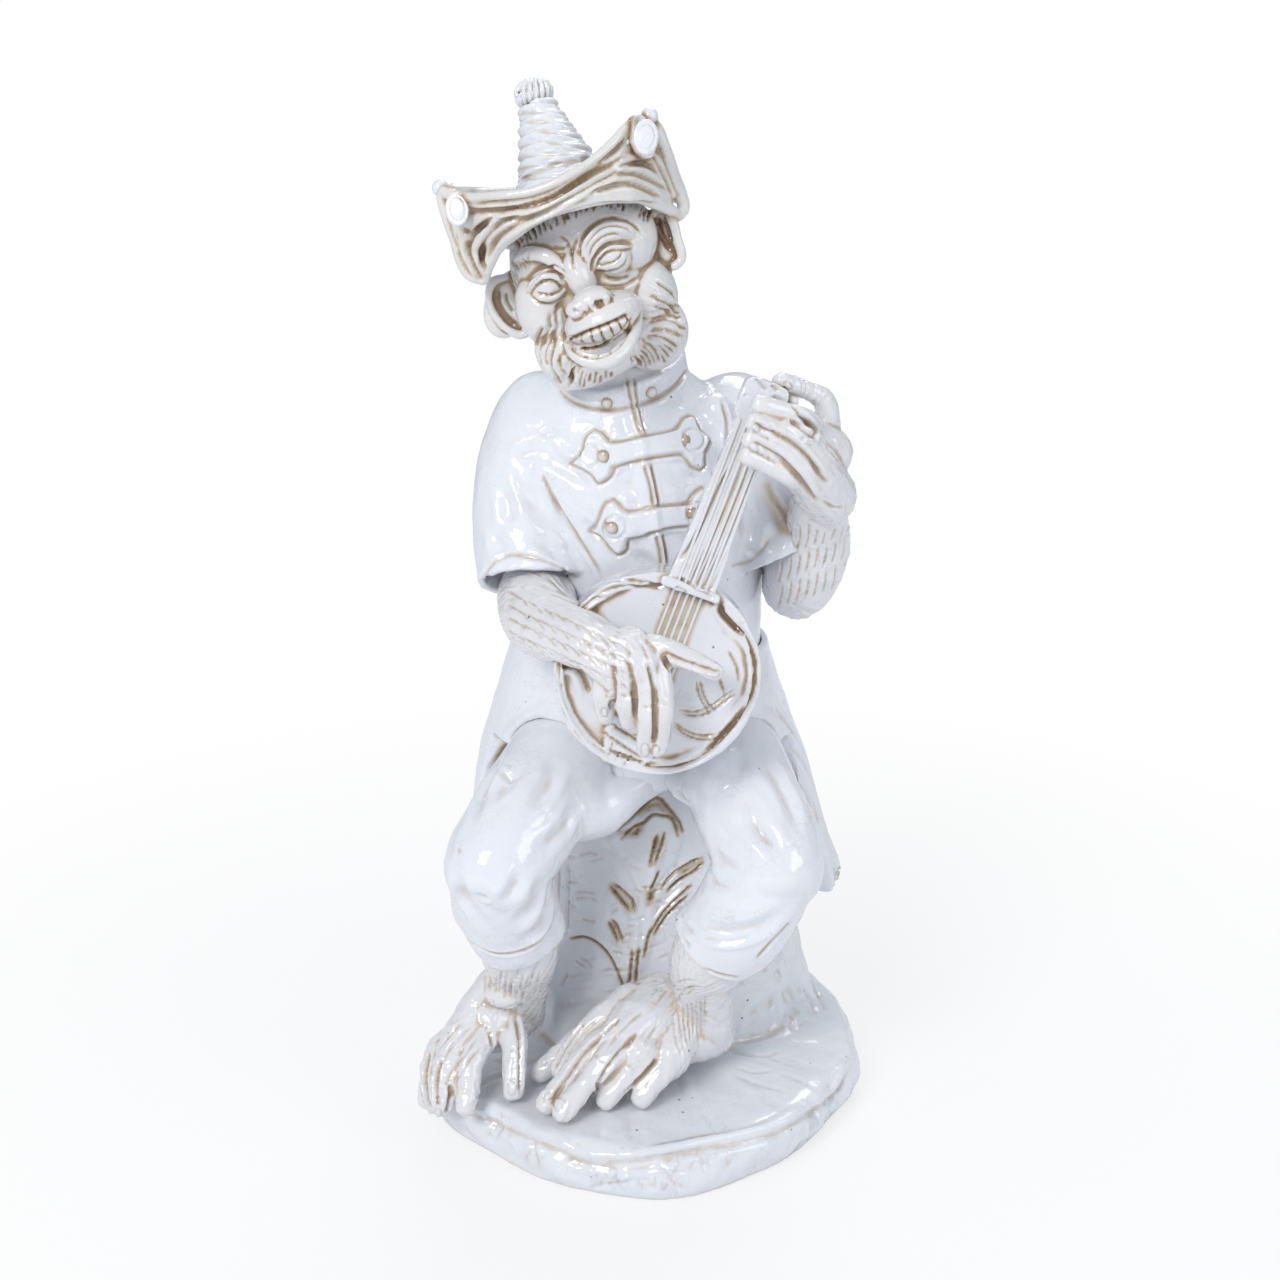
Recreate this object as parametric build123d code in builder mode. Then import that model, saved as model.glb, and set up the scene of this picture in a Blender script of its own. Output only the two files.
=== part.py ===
from build123d import *
import math
import os

# A glazed earthenware monkey musician, put together from separately moulded castings.
# Millimetres, +Z up, facing -Y. The origin is the middle of the flat underside.
# Right and left are the animal's own: its right hand is at -X.

# Overall sizes
figure_height = 500.0
plinth_half_width = 114.0
plinth_half_depth = 127.0
plinth_thickness = 26.0
seat_height = 170.0

# Rock, clothing and limb sizes
rock_half_width = 90.0
rock_half_depth = 76.0
leaf_relief = 3.2
leaf_length = 60.0
leaf_half_width = 9.5
torso_half_width = 60.0
torso_half_depth = 48.0
skirt_half_width = 94.0
skirt_half_depth = 66.0
skirt_drop = 46.0
skirt_dip = 22.0
skirt_front_gap = 6.0
skirt_lap_height = 18.0
trouser_radius = 26.5
cuff_wall = 3.5
cuff_depth = 9.0
shin_radius = 15.5
foot_radius = 15.0
toe_radius = 6.4
sleeve_radius = 29.0
sleeve_wall = 4.0
sleeve_mouth_depth = 9.0
forearm_radius = 17.5
palm_radius = 12.0
finger_radius = 4.9
relief = 1.6
placket_width = 5.0
frog_length = 50.0
frog_band = 10.0
frog_spread = 11.0
button_radius = 3.6
button_rise = 1.2
collar_radius = 31.0
collar_height = 11.0
collar_wall = 4.4

# Head and hat sizes
skull_radius = 33.0
muzzle_radius = 17.5
brow_radius = 4.4
cheek_radius = 15.5
chin_radius = 12.5
nostril_radius = 2.1
lip_radius = 3.6
mouth_radius = 5.4
tooth_radius = 2.6
tooth_gap = 0.5
eye_radius = 6.2
eye_seat = 0.6
ear_radius = 14.0
ear_wall = 3.2
ruff_radius = 11.5
hat_half_width = 46.5
hat_half_depth = 47.0
hat_edge = 5.0
hat_rise = 23.0
hat_fall = 27.0
hat_front_rise = 6.0
hat_front_fall = 5.0
hat_flare = 4.0
crown_base_radius = 23.0
crown_tip_radius = 7.5
crown_length = 42.0
crown_fold_depth = 1.3
tuft_radius = 8.8
tuft_height = 10.5
flute_radius = 1.0
medal_half_width = 6.6
medal_half_height = 9.2
medal_thickness = 2.8
finial_radius = 3.6

# Lute sizes
drum_radius = 46.0
drum_depth = 22.0
drum_back_rounding = 6.0
rim_width = 4.6
rim_rise = 1.8
neck_width = 22.0
neck_tip_width = 15.5
neck_thickness = 10.0
neck_rise = 3.2
neck_length = 77.0
bar_length = 27.0
bar_width = 4.0
bar_rise = 2.0
peghead_length = 19.0
peghead_width = 20.0
peg_radius = 2.1
peg_length = 5.0
peg_spacing = 5.4
string_radius = 0.8
string_spacing = 3.2
bridge_offset = 26.0
bridge_length = 26.0
bridge_width = 4.4
bridge_rise = 3.4
tailpiece_length = 11.0
tailpiece_width = 22.0

# Counts and turns
crown_fold_count = 7
tuft_flute_count = 18
string_count = 5
peg_count = 3
upper_slit_count = 6
lower_slit_count = 7
frog_slope = 9
collar_button_angles = (-104, -66)

# How far a cutter runs past what it cuts
overrun = 8.0

# Where the castings meet, as shares of the figure's height
pose_shares = {
    "right_hip": (-0.052, 0.010, 0.362),
    "right_thigh": (-0.090, -0.088, 0.350),
    "right_knee": (-0.131, -0.158, 0.304),
    "right_calf": (-0.126, -0.138, 0.255),
    "right_cuff": (-0.116, -0.118, 0.212),
    "right_ankle": (-0.116, -0.100, 0.160),
    "right_heel": (-0.124, -0.066, 0.098),
    "right_instep": (-0.146, -0.100, 0.104),
    "left_hip": (0.056, 0.010, 0.364),
    "left_thigh": (0.094, -0.072, 0.350),
    "left_knee": (0.122, -0.142, 0.298),
    "left_calf": (0.098, -0.144, 0.246),
    "left_cuff": (0.070, -0.134, 0.206),
    "left_ankle": (0.060, -0.118, 0.160),
    "left_heel": (0.066, -0.096, 0.092),
    "left_instep": (0.018, -0.122, 0.102),
    "right_shoulder": (-0.084, -0.014, 0.676),
    "right_upper_arm": (-0.100, -0.040, 0.604),
    "right_sleeve_mouth": (-0.098, -0.074, 0.548),
    "right_elbow": (-0.098, -0.060, 0.535),
    "right_forearm": (-0.086, -0.128, 0.528),
    "right_wrist": (-0.044, -0.194, 0.529),
    "right_palm": (-0.006, -0.214, 0.515),
    "left_shoulder": (0.084, 0.000, 0.672),
    "left_upper_arm": (0.116, -0.022, 0.606),
    "left_sleeve_mouth": (0.136, -0.040, 0.560),
    "left_elbow": (0.150, -0.040, 0.540),
    "left_forearm": (0.162, -0.058, 0.584),
    "left_wrist": (0.162, -0.088, 0.630),
    "left_palm": (0.157, -0.114, 0.676),
    "collar": (-0.018, -0.026, 0.737),
    "neck_root": (-0.022, -0.020, 0.740),
    "head": (-0.048, -0.073, 0.835),
    "muzzle_root": (-0.046, -0.110, 0.815),
    "muzzle": (-0.038, -0.158, 0.808),
    "nose": (-0.041, -0.188, 0.823),
    "right_brow": (-0.088, -0.124, 0.850),
    "mid_brow": (-0.058, -0.140, 0.866),
    "left_brow": (-0.026, -0.128, 0.884),
    "right_eye": (-0.079, -0.137, 0.827),
    "left_eye": (-0.027, -0.142, 0.851),
    "right_cheek": (-0.074, -0.096, 0.806),
    "left_cheek": (0.004, -0.086, 0.822),
    "chin": (-0.035, -0.128, 0.780),
    "right_mouth_corner": (-0.062, -0.176, 0.786),
    "left_mouth_corner": (-0.003, -0.170, 0.812),
    "upper_teeth": (-0.035, -0.195, 0.798),
    "lower_teeth": (-0.037, -0.191, 0.785),
    "lower_lip": (-0.036, -0.191, 0.771),
    "right_ear": (-0.119, -0.066, 0.803),
    "left_ear": (0.022, -0.072, 0.864),
    "right_ruff": (-0.090, -0.092, 0.778),
    "beard": (-0.044, -0.110, 0.752),
    "left_ruff": (0.034, -0.092, 0.812),
    "hat": (-0.066, -0.076, 0.900),
    "crown_tip": (-0.092, -0.042, 0.980),
    "right_medal": (-0.158, -0.112, 0.893),
    "left_medal": (0.002, -0.135, 0.951),
    "right_finial": (-0.171, -0.100, 0.907),
    "left_finial": (0.008, -0.119, 0.967),
    "drum": (0.015, -0.172, 0.492),
    "neck_tip": (0.113, -0.146, 0.753),
    "leaf_root": (0.002, 0.0, 0.098),
    "seam_top": (-0.009, 0.0, 0.726),
    "seam_foot": (0.020, 0.0, 0.560),
    "upper_frog": (0.004, 0.0, 0.680),
    "lower_frog": (0.011, 0.0, 0.617),
    "skirt_top": (0.0, 0.0, 0.475),
}

# Fingers and toes: root, knuckle and tip of each, as shares of the figure's height
right_finger_shares = (
    ((-0.022, -0.206, 0.512), (-0.032, -0.216, 0.492), (-0.030, -0.208, 0.466)),
    ((-0.008, -0.214, 0.510), (-0.012, -0.226, 0.490), (-0.010, -0.216, 0.464)),
    ((0.004, -0.216, 0.510), (0.006, -0.228, 0.478), (0.005, -0.212, 0.436)),
    ((0.014, -0.214, 0.514), (0.020, -0.226, 0.482), (0.016, -0.212, 0.438)),
    ((0.008, -0.206, 0.530), (0.038, -0.216, 0.522), (0.064, -0.222, 0.511)),
)
left_finger_shares = (
    ((0.154, -0.132, 0.700), (0.134, -0.168, 0.722), (0.101, -0.180, 0.735)),
    ((0.156, -0.134, 0.688), (0.134, -0.176, 0.706), (0.096, -0.188, 0.721)),
    ((0.156, -0.132, 0.676), (0.132, -0.176, 0.688), (0.094, -0.186, 0.706)),
    ((0.154, -0.128, 0.664), (0.128, -0.172, 0.672), (0.092, -0.184, 0.691)),
    ((0.168, -0.108, 0.692), (0.160, -0.122, 0.728), (0.122, -0.142, 0.748)),
)
left_toe_shares = (
    ((-0.010, -0.101, 0.106), (-0.058, -0.118, 0.096), (-0.097, -0.130, 0.066)),
    ((0.000, -0.112, 0.110), (-0.048, -0.152, 0.102), (-0.089, -0.186, 0.066)),
    ((0.012, -0.120, 0.112), (-0.030, -0.168, 0.104), (-0.073, -0.200, 0.066)),
    ((0.026, -0.126, 0.108), (0.002, -0.158, 0.102), (-0.032, -0.178, 0.066)),
    ((0.044, -0.130, 0.100), (0.026, -0.158, 0.090), (0.002, -0.174, 0.066)),
)
right_toe_shares = (
    ((-0.128, -0.104, 0.108), (-0.122, -0.134, 0.096), (-0.122, -0.162, 0.066)),
    ((-0.148, -0.112, 0.104), (-0.160, -0.146, 0.094), (-0.166, -0.180, 0.060)),
    ((-0.158, -0.108, 0.102), (-0.182, -0.138, 0.090), (-0.190, -0.168, 0.052)),
    ((-0.162, -0.098, 0.100), (-0.196, -0.118, 0.086), (-0.207, -0.146, 0.046)),
)


def at(share):
    """A place given in shares of the figure's height."""
    return Vector(*(figure_height * value for value in share))


pose = {name: at(share) for name, share in pose_shares.items()}

# Rounding of a limb's end: how far past its last point each section lies, in radii
cap_shares = (0.92, 0.55)


def oval(centre, along, across, half_width, half_depth):
    """An oval section square to a direction, its width along a second one."""
    flat = across - along * across.dot(along)
    with BuildSketch(Plane(centre, x_dir=flat, z_dir=along)) as profile:
        Ellipse(half_width, half_depth)
    return profile.sketch


def limb(points, radii, width_share=1.0, across=Vector(1, 0, 0), round_start=True, round_end=True):
    """A casting of oval sections along a line of points, with rounded ends."""
    last = len(points) - 1
    ways = [(points[min(i + 1, last)] - points[max(i - 1, 0)]).normalized() for i in range(last + 1)]
    sections = list(zip(points, ways, radii))
    start, end = [], []
    for share in cap_shares:
        small = math.sqrt(1 - share**2)
        start.append((points[0] - ways[0] * radii[0] * share, ways[0], radii[0] * small))
        end.insert(0, (points[-1] + ways[-1] * radii[-1] * share, ways[-1], radii[-1] * small))
    sections = (start if round_start else []) + sections + (end if round_end else [])
    with BuildPart() as casting:
        for centre, way, radius in sections:
            add(oval(centre, way, across, radius * width_share, radius))
        loft()
    return casting.part


def stack(levels, half_width, half_depth, grow=0):
    """A casting of level ovals, each a place and two shares of the half sizes."""
    with BuildPart() as casting:
        for place, wide, deep in levels:
            with BuildSketch(Plane(at(place))):
                Ellipse(half_width * wide + grow, half_depth * deep + grow)
        loft()
    return casting.part


def trimmed(casting, *neighbours):
    """What is left of a casting outside its neighbours: its largest solid."""
    cut = casting - list(neighbours) if neighbours else casting
    return cut.solids().sort_by(SortBy.VOLUME)[-1]


def united(castings):
    """Several overlapping castings as one."""
    return castings[0] + castings[1:]


# Plinth: a rough round slab with a bulging edge
plinth_level_shares = ((0.0, 0.965), (0.36, 1.0), (0.75, 0.985), (1.0, 0.94))
plinth_wobble_shares = (1.0, 0.985, 0.995, 1.0, 0.98, 0.99, 1.0, 0.985, 0.975, 1.0, 0.99, 0.98)
plinth_steps = len(plinth_wobble_shares)
with BuildPart() as plinth:
    for height_share, size_share in plinth_level_shares:
        with BuildSketch(Plane.XY.offset(plinth_thickness * height_share)):
            with BuildLine():
                outline = []
                for i, wobble in enumerate(plinth_wobble_shares):
                    turn = 2 * math.pi * i / plinth_steps
                    across = plinth_half_width * size_share * wobble * math.cos(turn)
                    outline.append((across, plinth_half_depth * size_share * wobble * math.sin(turn)))
                Spline(*outline, periodic=True)
            make_face()
    loft()

# Rock mound: the seat, standing on the plinth, its levels running from plinth to seat
rock_level_shares = (
    (0.0, (0.010, 0.078), 1.0, 1.0),
    (0.25, (0.010, 0.072), 0.88, 0.86),
    (0.50, (0.006, 0.066), 0.76, 0.74),
    (0.75, (0.002, 0.061), 0.67, 0.64),
    (1.0, (0.0, 0.056), 0.60, 0.56),
)


def rock_shape(grow):
    """The mound, grown all round by a given amount but not in height."""
    with BuildPart() as mound:
        for height_share, (across, back), wide, deep in rock_level_shares:
            level = plinth_thickness + (seat_height - plinth_thickness) * height_share
            with BuildSketch(Plane(at((across, back, 0)) + Vector(0, 0, level))):
                Ellipse(rock_half_width * wide + grow, rock_half_depth * deep + grow)
        loft()
    return mound.part


with BuildPart() as rock_mound:
    add(rock_shape(0))

# Leaf spray: pointed blades fanned over the front of the rock from one root
leaf_fan = ((0, 1.55, 1.35), (-26, 1.12, 1.0), (26, 1.2, 1.0), (-58, 0.95, 0.9), (54, 0.95, 0.9))
with BuildPart() as leaf_blades:
    for lean, long_share, wide_share in leaf_fan:
        blade_plane = Plane(pose["leaf_root"], x_dir=(1, 0, 0), z_dir=(0, -1, 0)).rotated((0, 0, -lean))
        with BuildSketch(blade_plane):
            with BuildLine():
                tip = leaf_length * long_share
                side = leaf_half_width * wide_share
                ThreePointArc((0, 0), (side, tip / 2), (0, tip))
                ThreePointArc((0, tip), (-side, tip / 2), (0, 0))
            make_face()
        extrude(amount=rock_half_depth)
with BuildPart() as leaf_plant:
    add(rock_shape(leaf_relief))
    add(rock_mound.part, mode=Mode.SUBTRACT)
    add(leaf_blades.part, mode=Mode.INTERSECT)

# Torso: the jacket's trunk, from the seat to the neck
torso_level_shares = (
    ((0.0, 0.016, seat_height / figure_height), 0.92, 1.0),
    ((0.003, 0.004, 0.42), 0.93, 0.98),
    ((0.004, -0.006, 0.50), 0.95, 0.98),
    ((0.002, -0.012, 0.58), 1.0, 1.0),
    ((-0.002, -0.014, 0.655), 1.0, 0.96),
    ((-0.014, -0.020, 0.712), 0.76, 0.70),
    ((-0.020, -0.026, 0.75), 0.44, 0.54),
)


def torso_shape(grow):
    """The trunk and shoulders, grown all round by a given amount."""
    return stack(torso_level_shares, torso_half_width, torso_half_depth, grow)


with BuildPart() as torso:
    add(torso_shape(0))

# Trouser legs: each a thigh and a calf that overlap at the knee, open at the cuff
leg_radius_shares = (1.0, 1.0, 0.95, 0.92, 0.86)
calf_start_share = 0.93


def trouser_leg(side):
    """One trouser leg."""
    names = ("hip", "thigh", "knee", "calf", "cuff")
    hip, thigh, knee, calf, cuff = (pose[f"{side}_{name}"] for name in names)
    radii = [trouser_radius * share for share in leg_radius_shares]
    upper = limb([hip, thigh, knee], radii[:3], round_start=False)
    lower = limb([knee, calf, cuff], [radii[2] * calf_start_share, *radii[3:]], round_end=False)
    way = (cuff - calf).normalized()
    inside = [radii[-1] - cuff_wall] * 2
    ends = [cuff - way * cuff_depth, cuff + way * overrun]
    mouth = limb(ends, inside, round_start=False, round_end=False)
    return united([upper, lower]) - mouth


with BuildPart() as right_trouser_leg:
    add(trimmed(trouser_leg("right"), torso.part, rock_mound.part))
with BuildPart() as left_trouser_leg:
    add(trimmed(trouser_leg("left"), torso.part, rock_mound.part))
trousers = [right_trouser_leg.part, left_trouser_leg.part]

# Jacket skirt: a flared bell over hips and rock, hanging lower on the left side
skirt_level_shares = (
    (0.0, (0.0, 0.0), 0.66, 0.74),
    (0.33, (0.0, 0.014), 0.80, 0.85),
    (0.66, (0.005, 0.030), 0.93, 0.96),
    (1.0, (0.016, 0.046), 1.04, 1.06),
)
skirt_fall = pose["skirt_top"].Z - seat_height + skirt_drop + skirt_dip
skirt_hem_slope = math.degrees(math.atan2(skirt_dip, skirt_half_width))
with BuildPart() as skirt_bell:
    for drop_share, (across, back), wide, deep in skirt_level_shares:
        level = pose["skirt_top"] + at((across, back, 0)) - Vector(0, 0, skirt_fall * drop_share)
        with BuildSketch(Plane(level)):
            Ellipse(skirt_half_width * wide, skirt_half_depth * deep)
    loft()
    hem_plane = Plane((0, 0, seat_height - skirt_drop)).rotated((0, skirt_hem_slope, 0))
    split(bisect_by=hem_plane, keep=Keep.TOP)
    lap = (0, -skirt_front_gap, seat_height + skirt_lap_height)
    with BuildSketch(Plane(lap, x_dir=(1, 0, 0), z_dir=(0, -1, 0))):
        Rectangle(skirt_half_width * 3, skirt_half_width * 3, align=(Align.CENTER, Align.MAX))
    extrude(amount=skirt_half_depth * 2, mode=Mode.SUBTRACT)
with BuildPart() as coat_skirt:
    add(trimmed(skirt_bell.part, torso.part, rock_mound.part, leaf_plant.part, *trousers))

# Shins: hairy lower legs coming out of the cuffs
shin_radius_shares = (1.05, 0.98, 0.86)


def shin(side):
    """One shin, from inside the cuff down to the foot."""
    calf, cuff, ankle, heel = (pose[f"{side}_{name}"] for name in ("calf", "cuff", "ankle", "heel"))
    radii = [shin_radius * share for share in shin_radius_shares]
    return limb([(cuff + calf) / 2, ankle, heel], radii, round_start=False)


with BuildPart() as right_shin:
    add(trimmed(shin("right"), plinth.part, rock_mound.part, leaf_plant.part, *trousers))
with BuildPart() as left_shin:
    add(trimmed(shin("left"), plinth.part, rock_mound.part, leaf_plant.part, *trousers))

# Feet and hands: a sole or palm with its toes or fingers run together in one casting
digit_radius_shares = (1.12, 1.0, 0.82)
heel_share = 0.9


def digits(shares, radius):
    """Fingers or toes, each a bent tapering casting."""
    radii = [radius * share for share in digit_radius_shares]
    return [limb([at(place) for place in digit], radii) for digit in shares]


def foot(side, toes):
    """One foot."""
    heel, instep = pose[f"{side}_heel"], pose[f"{side}_instep"]
    sole = limb([heel, instep], [foot_radius * heel_share, foot_radius], across=Vector(0, 0, 1))
    return united([sole, *digits(toes, toe_radius)])


base_parts = [plinth.part, rock_mound.part, leaf_plant.part]
with BuildPart() as right_foot:
    add(trimmed(foot("right", right_toe_shares), right_shin.part, *base_parts))
with BuildPart() as left_foot:
    add(trimmed(foot("left", left_toe_shares), left_shin.part, *base_parts))

# Collar: a stand-up band round the neck, leaning forward and to the right
collar_way = Vector(-0.20, -0.26, 0.94).normalized()
collar_plane = Plane(pose["collar"], x_dir=(1, 0, 0.21), z_dir=collar_way)
with BuildPart() as collar:
    with BuildSketch(collar_plane.offset(-collar_height / 2)):
        Circle(collar_radius)
        Circle(collar_radius - collar_wall, mode=Mode.SUBTRACT)
    extrude(amount=collar_height)
    fillet(collar.edges(), relief / 2)
    add(torso.part, mode=Mode.SUBTRACT)

# Sleeves: wide and open at the mouth
sleeve_radius_shares = (1.02, 0.98, 0.90)


def sleeve(side):
    """One sleeve."""
    shoulder, arm, mouth = (pose[f"{side}_{name}"] for name in ("shoulder", "upper_arm", "sleeve_mouth"))
    radii = [sleeve_radius * share for share in sleeve_radius_shares]
    way = (mouth - arm).normalized()
    inside = [radii[-1] - sleeve_wall] * 2
    depths = [mouth - way * sleeve_mouth_depth, mouth + way * overrun]
    hollow = limb(depths, inside, round_start=False, round_end=False)
    return limb([shoulder, arm, mouth], radii, round_end=False) - hollow


with BuildPart() as right_sleeve:
    add(trimmed(sleeve("right"), torso.part, collar.part))
with BuildPart() as left_sleeve:
    add(trimmed(sleeve("left"), torso.part, collar.part))

# Lute: drawn in its own plane, x along the neck, z out of the soundboard
neck_way = (pose["neck_tip"] - pose["drum"]).normalized()
face_way = (Vector(0, -1, 0) + neck_way * neck_way.Y).normalized()
lute = Plane(pose["drum"], x_dir=neck_way, z_dir=face_way)
neck_start = drum_radius - rim_width
neck_end = neck_start + neck_length

with BuildPart() as banjo_body:
    with BuildSketch(lute.offset(-drum_depth)):
        Circle(drum_radius)
    extrude(amount=drum_depth)
    fillet(banjo_body.faces().sort_by(Axis.Y)[-1].edges(), drum_back_rounding)
    add([torso.part, coat_skirt.part, *trousers], mode=Mode.SUBTRACT)
with BuildPart() as banjo_rim:
    with BuildSketch(lute):
        Circle(drum_radius)
        Circle(drum_radius - rim_width, mode=Mode.SUBTRACT)
    extrude(amount=rim_rise)
    fillet(banjo_rim.faces().sort_by(Axis.Y)[0].edges(), rim_rise / 3)
with BuildPart() as banjo_neck:
    with BuildSketch(lute.offset(neck_rise - neck_thickness)):
        with BuildLine():
            Polyline(
                (neck_start, -neck_width / 2),
                (neck_end, -neck_tip_width / 2),
                (neck_end, neck_tip_width / 2),
                (neck_start, neck_width / 2),
                close=True,
            )
        make_face()
    extrude(amount=neck_thickness)
    add([banjo_body.part, banjo_rim.part, torso.part], mode=Mode.SUBTRACT)
with BuildPart() as banjo_headstock:
    with BuildSketch(lute.offset(neck_rise - neck_thickness)):
        with Locations((neck_end + peghead_length / 2, 0)):
            RectangleRounded(peghead_length, peghead_width, peghead_width / 5)
    extrude(amount=neck_thickness)
with BuildPart() as banjo_pegs:
    peghead_place = Vector(neck_end + peghead_length / 2, 0, neck_rise - neck_thickness / 2)
    peghead_middle = lute.from_local_coords(peghead_place)
    peghead_side = Plane(peghead_middle, x_dir=neck_way, z_dir=lute.y_dir * -1)
    with BuildSketch(peghead_side.offset(peghead_width / 2)):
        with GridLocations(peg_spacing, peg_spacing, peg_count, 1):
            Circle(peg_radius)
    extrude(amount=peg_length)
with BuildPart() as banjo_nut:
    with BuildSketch(lute.offset(rim_rise)):
        with Locations((neck_start, 0)):
            RectangleRounded(bar_width, bar_length, bar_width / 3)
    extrude(amount=neck_rise - rim_rise + bar_rise)
    add([banjo_neck.part, banjo_rim.part], mode=Mode.SUBTRACT)
with BuildPart() as banjo_bridge:
    with BuildSketch(lute):
        with Locations((-bridge_offset, 0)):
            RectangleRounded(bridge_width, bridge_length, bridge_width / 3)
    extrude(amount=bridge_rise)
with BuildPart() as banjo_tailpiece:
    with BuildSketch(lute):
        with Locations((-bridge_offset - (bridge_width + tailpiece_length) / 2, 0)):
            Rectangle(tailpiece_length, tailpiece_width)
    extrude(amount=relief)
    add(banjo_rim.part, mode=Mode.SUBTRACT)
lute_parts = [
    banjo_body.part,
    banjo_rim.part,
    banjo_neck.part,
    banjo_headstock.part,
    banjo_pegs.part,
    banjo_nut.part,
    banjo_bridge.part,
    banjo_tailpiece.part,
]

# Forearms, hairy, from inside the sleeves to the wrists
forearm_radius_shares = (1.0, 0.98, 0.70)


def forearm(side):
    """One forearm."""
    stations = [pose[f"{side}_{name}"] for name in ("elbow", "forearm", "wrist")]
    radii = [forearm_radius * share for share in forearm_radius_shares]
    return limb(stations, radii, across=Vector(1, 0, 1))


with BuildPart() as right_forearm:
    add(trimmed(forearm("right"), torso.part, right_sleeve.part, banjo_body.part, banjo_rim.part))
with BuildPart() as left_forearm:
    add(trimmed(forearm("left"), torso.part, left_sleeve.part))

# Hands, resting on the lute
wrist_share = 0.9


def hand(side, fingers):
    """One hand."""
    palm = limb([pose[f"{side}_wrist"], pose[f"{side}_palm"]], [palm_radius * wrist_share, palm_radius])
    return united([palm, *digits(fingers, finger_radius)])


with BuildPart() as right_hand:
    add(trimmed(hand("right", right_finger_shares), right_forearm.part, *lute_parts))
with BuildPart() as left_hand:
    add(trimmed(hand("left", left_finger_shares), left_forearm.part, *lute_parts))


def string_run(start, end, rise):
    """The strings side by side, lying half sunk at a given height."""
    with BuildPart() as run:
        run_start = lute.from_local_coords(Vector(start, 0, rise))
        with BuildSketch(Plane(run_start, x_dir=lute.y_dir, z_dir=neck_way)):
            with GridLocations(string_spacing, string_spacing, string_count, 1):
                Circle(string_radius)
        extrude(amount=end - start)
    return run.part


with BuildPart() as banjo_strings:
    add(string_run(-bridge_offset + bridge_width / 2, neck_start - bar_width / 2, 0))
    add(string_run(neck_start + bar_width / 2, neck_end, neck_rise))
    add([right_hand.part, left_hand.part, *lute_parts], mode=Mode.SUBTRACT)

# Jacket front: a placket strip and two frogs, raised on the trunk
front_start = Plane((0, 0, 0), x_dir=(1, 0, 0), z_dir=(0, -1, 0))
cutter_depth = torso_half_depth * 2
with BuildPart() as jacket_skin:
    add(torso_shape(relief))
    add(torso.part, mode=Mode.SUBTRACT)


def frog_cutter(place):
    """A frog's outline, a bar between two pointed knots, run out to the front."""
    reach, tall = frog_length / 2, frog_spread
    with BuildPart() as cutter:
        with BuildSketch(Plane(place, x_dir=(1, 0, 0), z_dir=(0, -1, 0)).rotated((0, 0, frog_slope))):
            Rectangle(reach * 1.4, frog_band)
            for side in (1, -1):
                with BuildLine():
                    Polyline(
                        (side * reach * 1.12, 0),
                        (side * reach * 0.86, tall * 0.56),
                        (side * reach * 0.84, tall * 1.05),
                        (side * reach * 0.70, tall * 0.62),
                        (side * reach * 0.50, 0),
                        (side * reach * 0.70, -tall * 0.62),
                        (side * reach * 0.84, -tall * 1.05),
                        (side * reach * 0.86, -tall * 0.56),
                        close=True,
                    )
                make_face()
        extrude(amount=cutter_depth)
    return cutter.part


with BuildPart() as upper_frog:
    upper_panel = jacket_skin.part & frog_cutter(pose["upper_frog"])
    add(trimmed(upper_panel, collar.part, right_sleeve.part, left_sleeve.part))
with BuildPart() as lower_frog:
    lower_panel = jacket_skin.part & frog_cutter(pose["lower_frog"])
    add(trimmed(lower_panel, banjo_body.part, banjo_rim.part, banjo_neck.part))
with BuildPart() as strip:
    with BuildSketch(front_start):
        with BuildLine():
            Polyline(
                (pose["seam_top"].X - placket_width / 2, pose["seam_top"].Z),
                (pose["seam_top"].X + placket_width / 2, pose["seam_top"].Z),
                (pose["seam_foot"].X + placket_width / 2, pose["seam_foot"].Z),
                (pose["seam_foot"].X - placket_width / 2, pose["seam_foot"].Z),
                close=True,
            )
        make_face()
    extrude(amount=cutter_depth)
with BuildPart() as placket:
    add(jacket_skin.part)
    add(strip.part, mode=Mode.INTERSECT)
    add([collar.part, upper_frog.part, lower_frog.part], mode=Mode.SUBTRACT)
    add([banjo_body.part, banjo_rim.part], mode=Mode.SUBTRACT)

# Buttons: one at each end of a frog, two on the collar
button_reach_share = 0.36


def on_front(x, z):
    """The place on the jacket's front at a given x and z."""
    probe = Edge.make_line(Vector(x, -cutter_depth, z), Vector(x, 0, z))
    return (probe & torso.part).vertices().sort_by(Axis.Y)[0].center()


def ball(centre, radius):
    """A round blob of clay."""
    with BuildPart() as blob:
        with Locations(Plane(centre, z_dir=(0, -1, 0))):
            Sphere(radius)
    return blob.part


with BuildPart() as frog_buttons:
    for name, knot in (("upper_frog", upper_frog), ("lower_frog", lower_frog)):
        for side in (1, -1):
            turn = math.radians(frog_slope)
            reach = side * frog_length * button_reach_share
            spot = on_front(pose[name].X + reach * math.cos(turn), pose[name].Z + reach * math.sin(turn))
            button = ball(spot - Vector(0, button_rise, 0), button_radius)
            add(trimmed(button, torso.part, knot.part, banjo_neck.part))
with BuildPart() as collar_buttons:
    for angle in collar_button_angles:
        turn = math.radians(angle)
        spot = Vector(collar_radius * math.cos(turn), collar_radius * math.sin(turn), 0)
        button = ball(collar_plane.from_local_coords(spot), button_radius * 0.8)
        add(trimmed(button, collar.part, torso.part))

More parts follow.
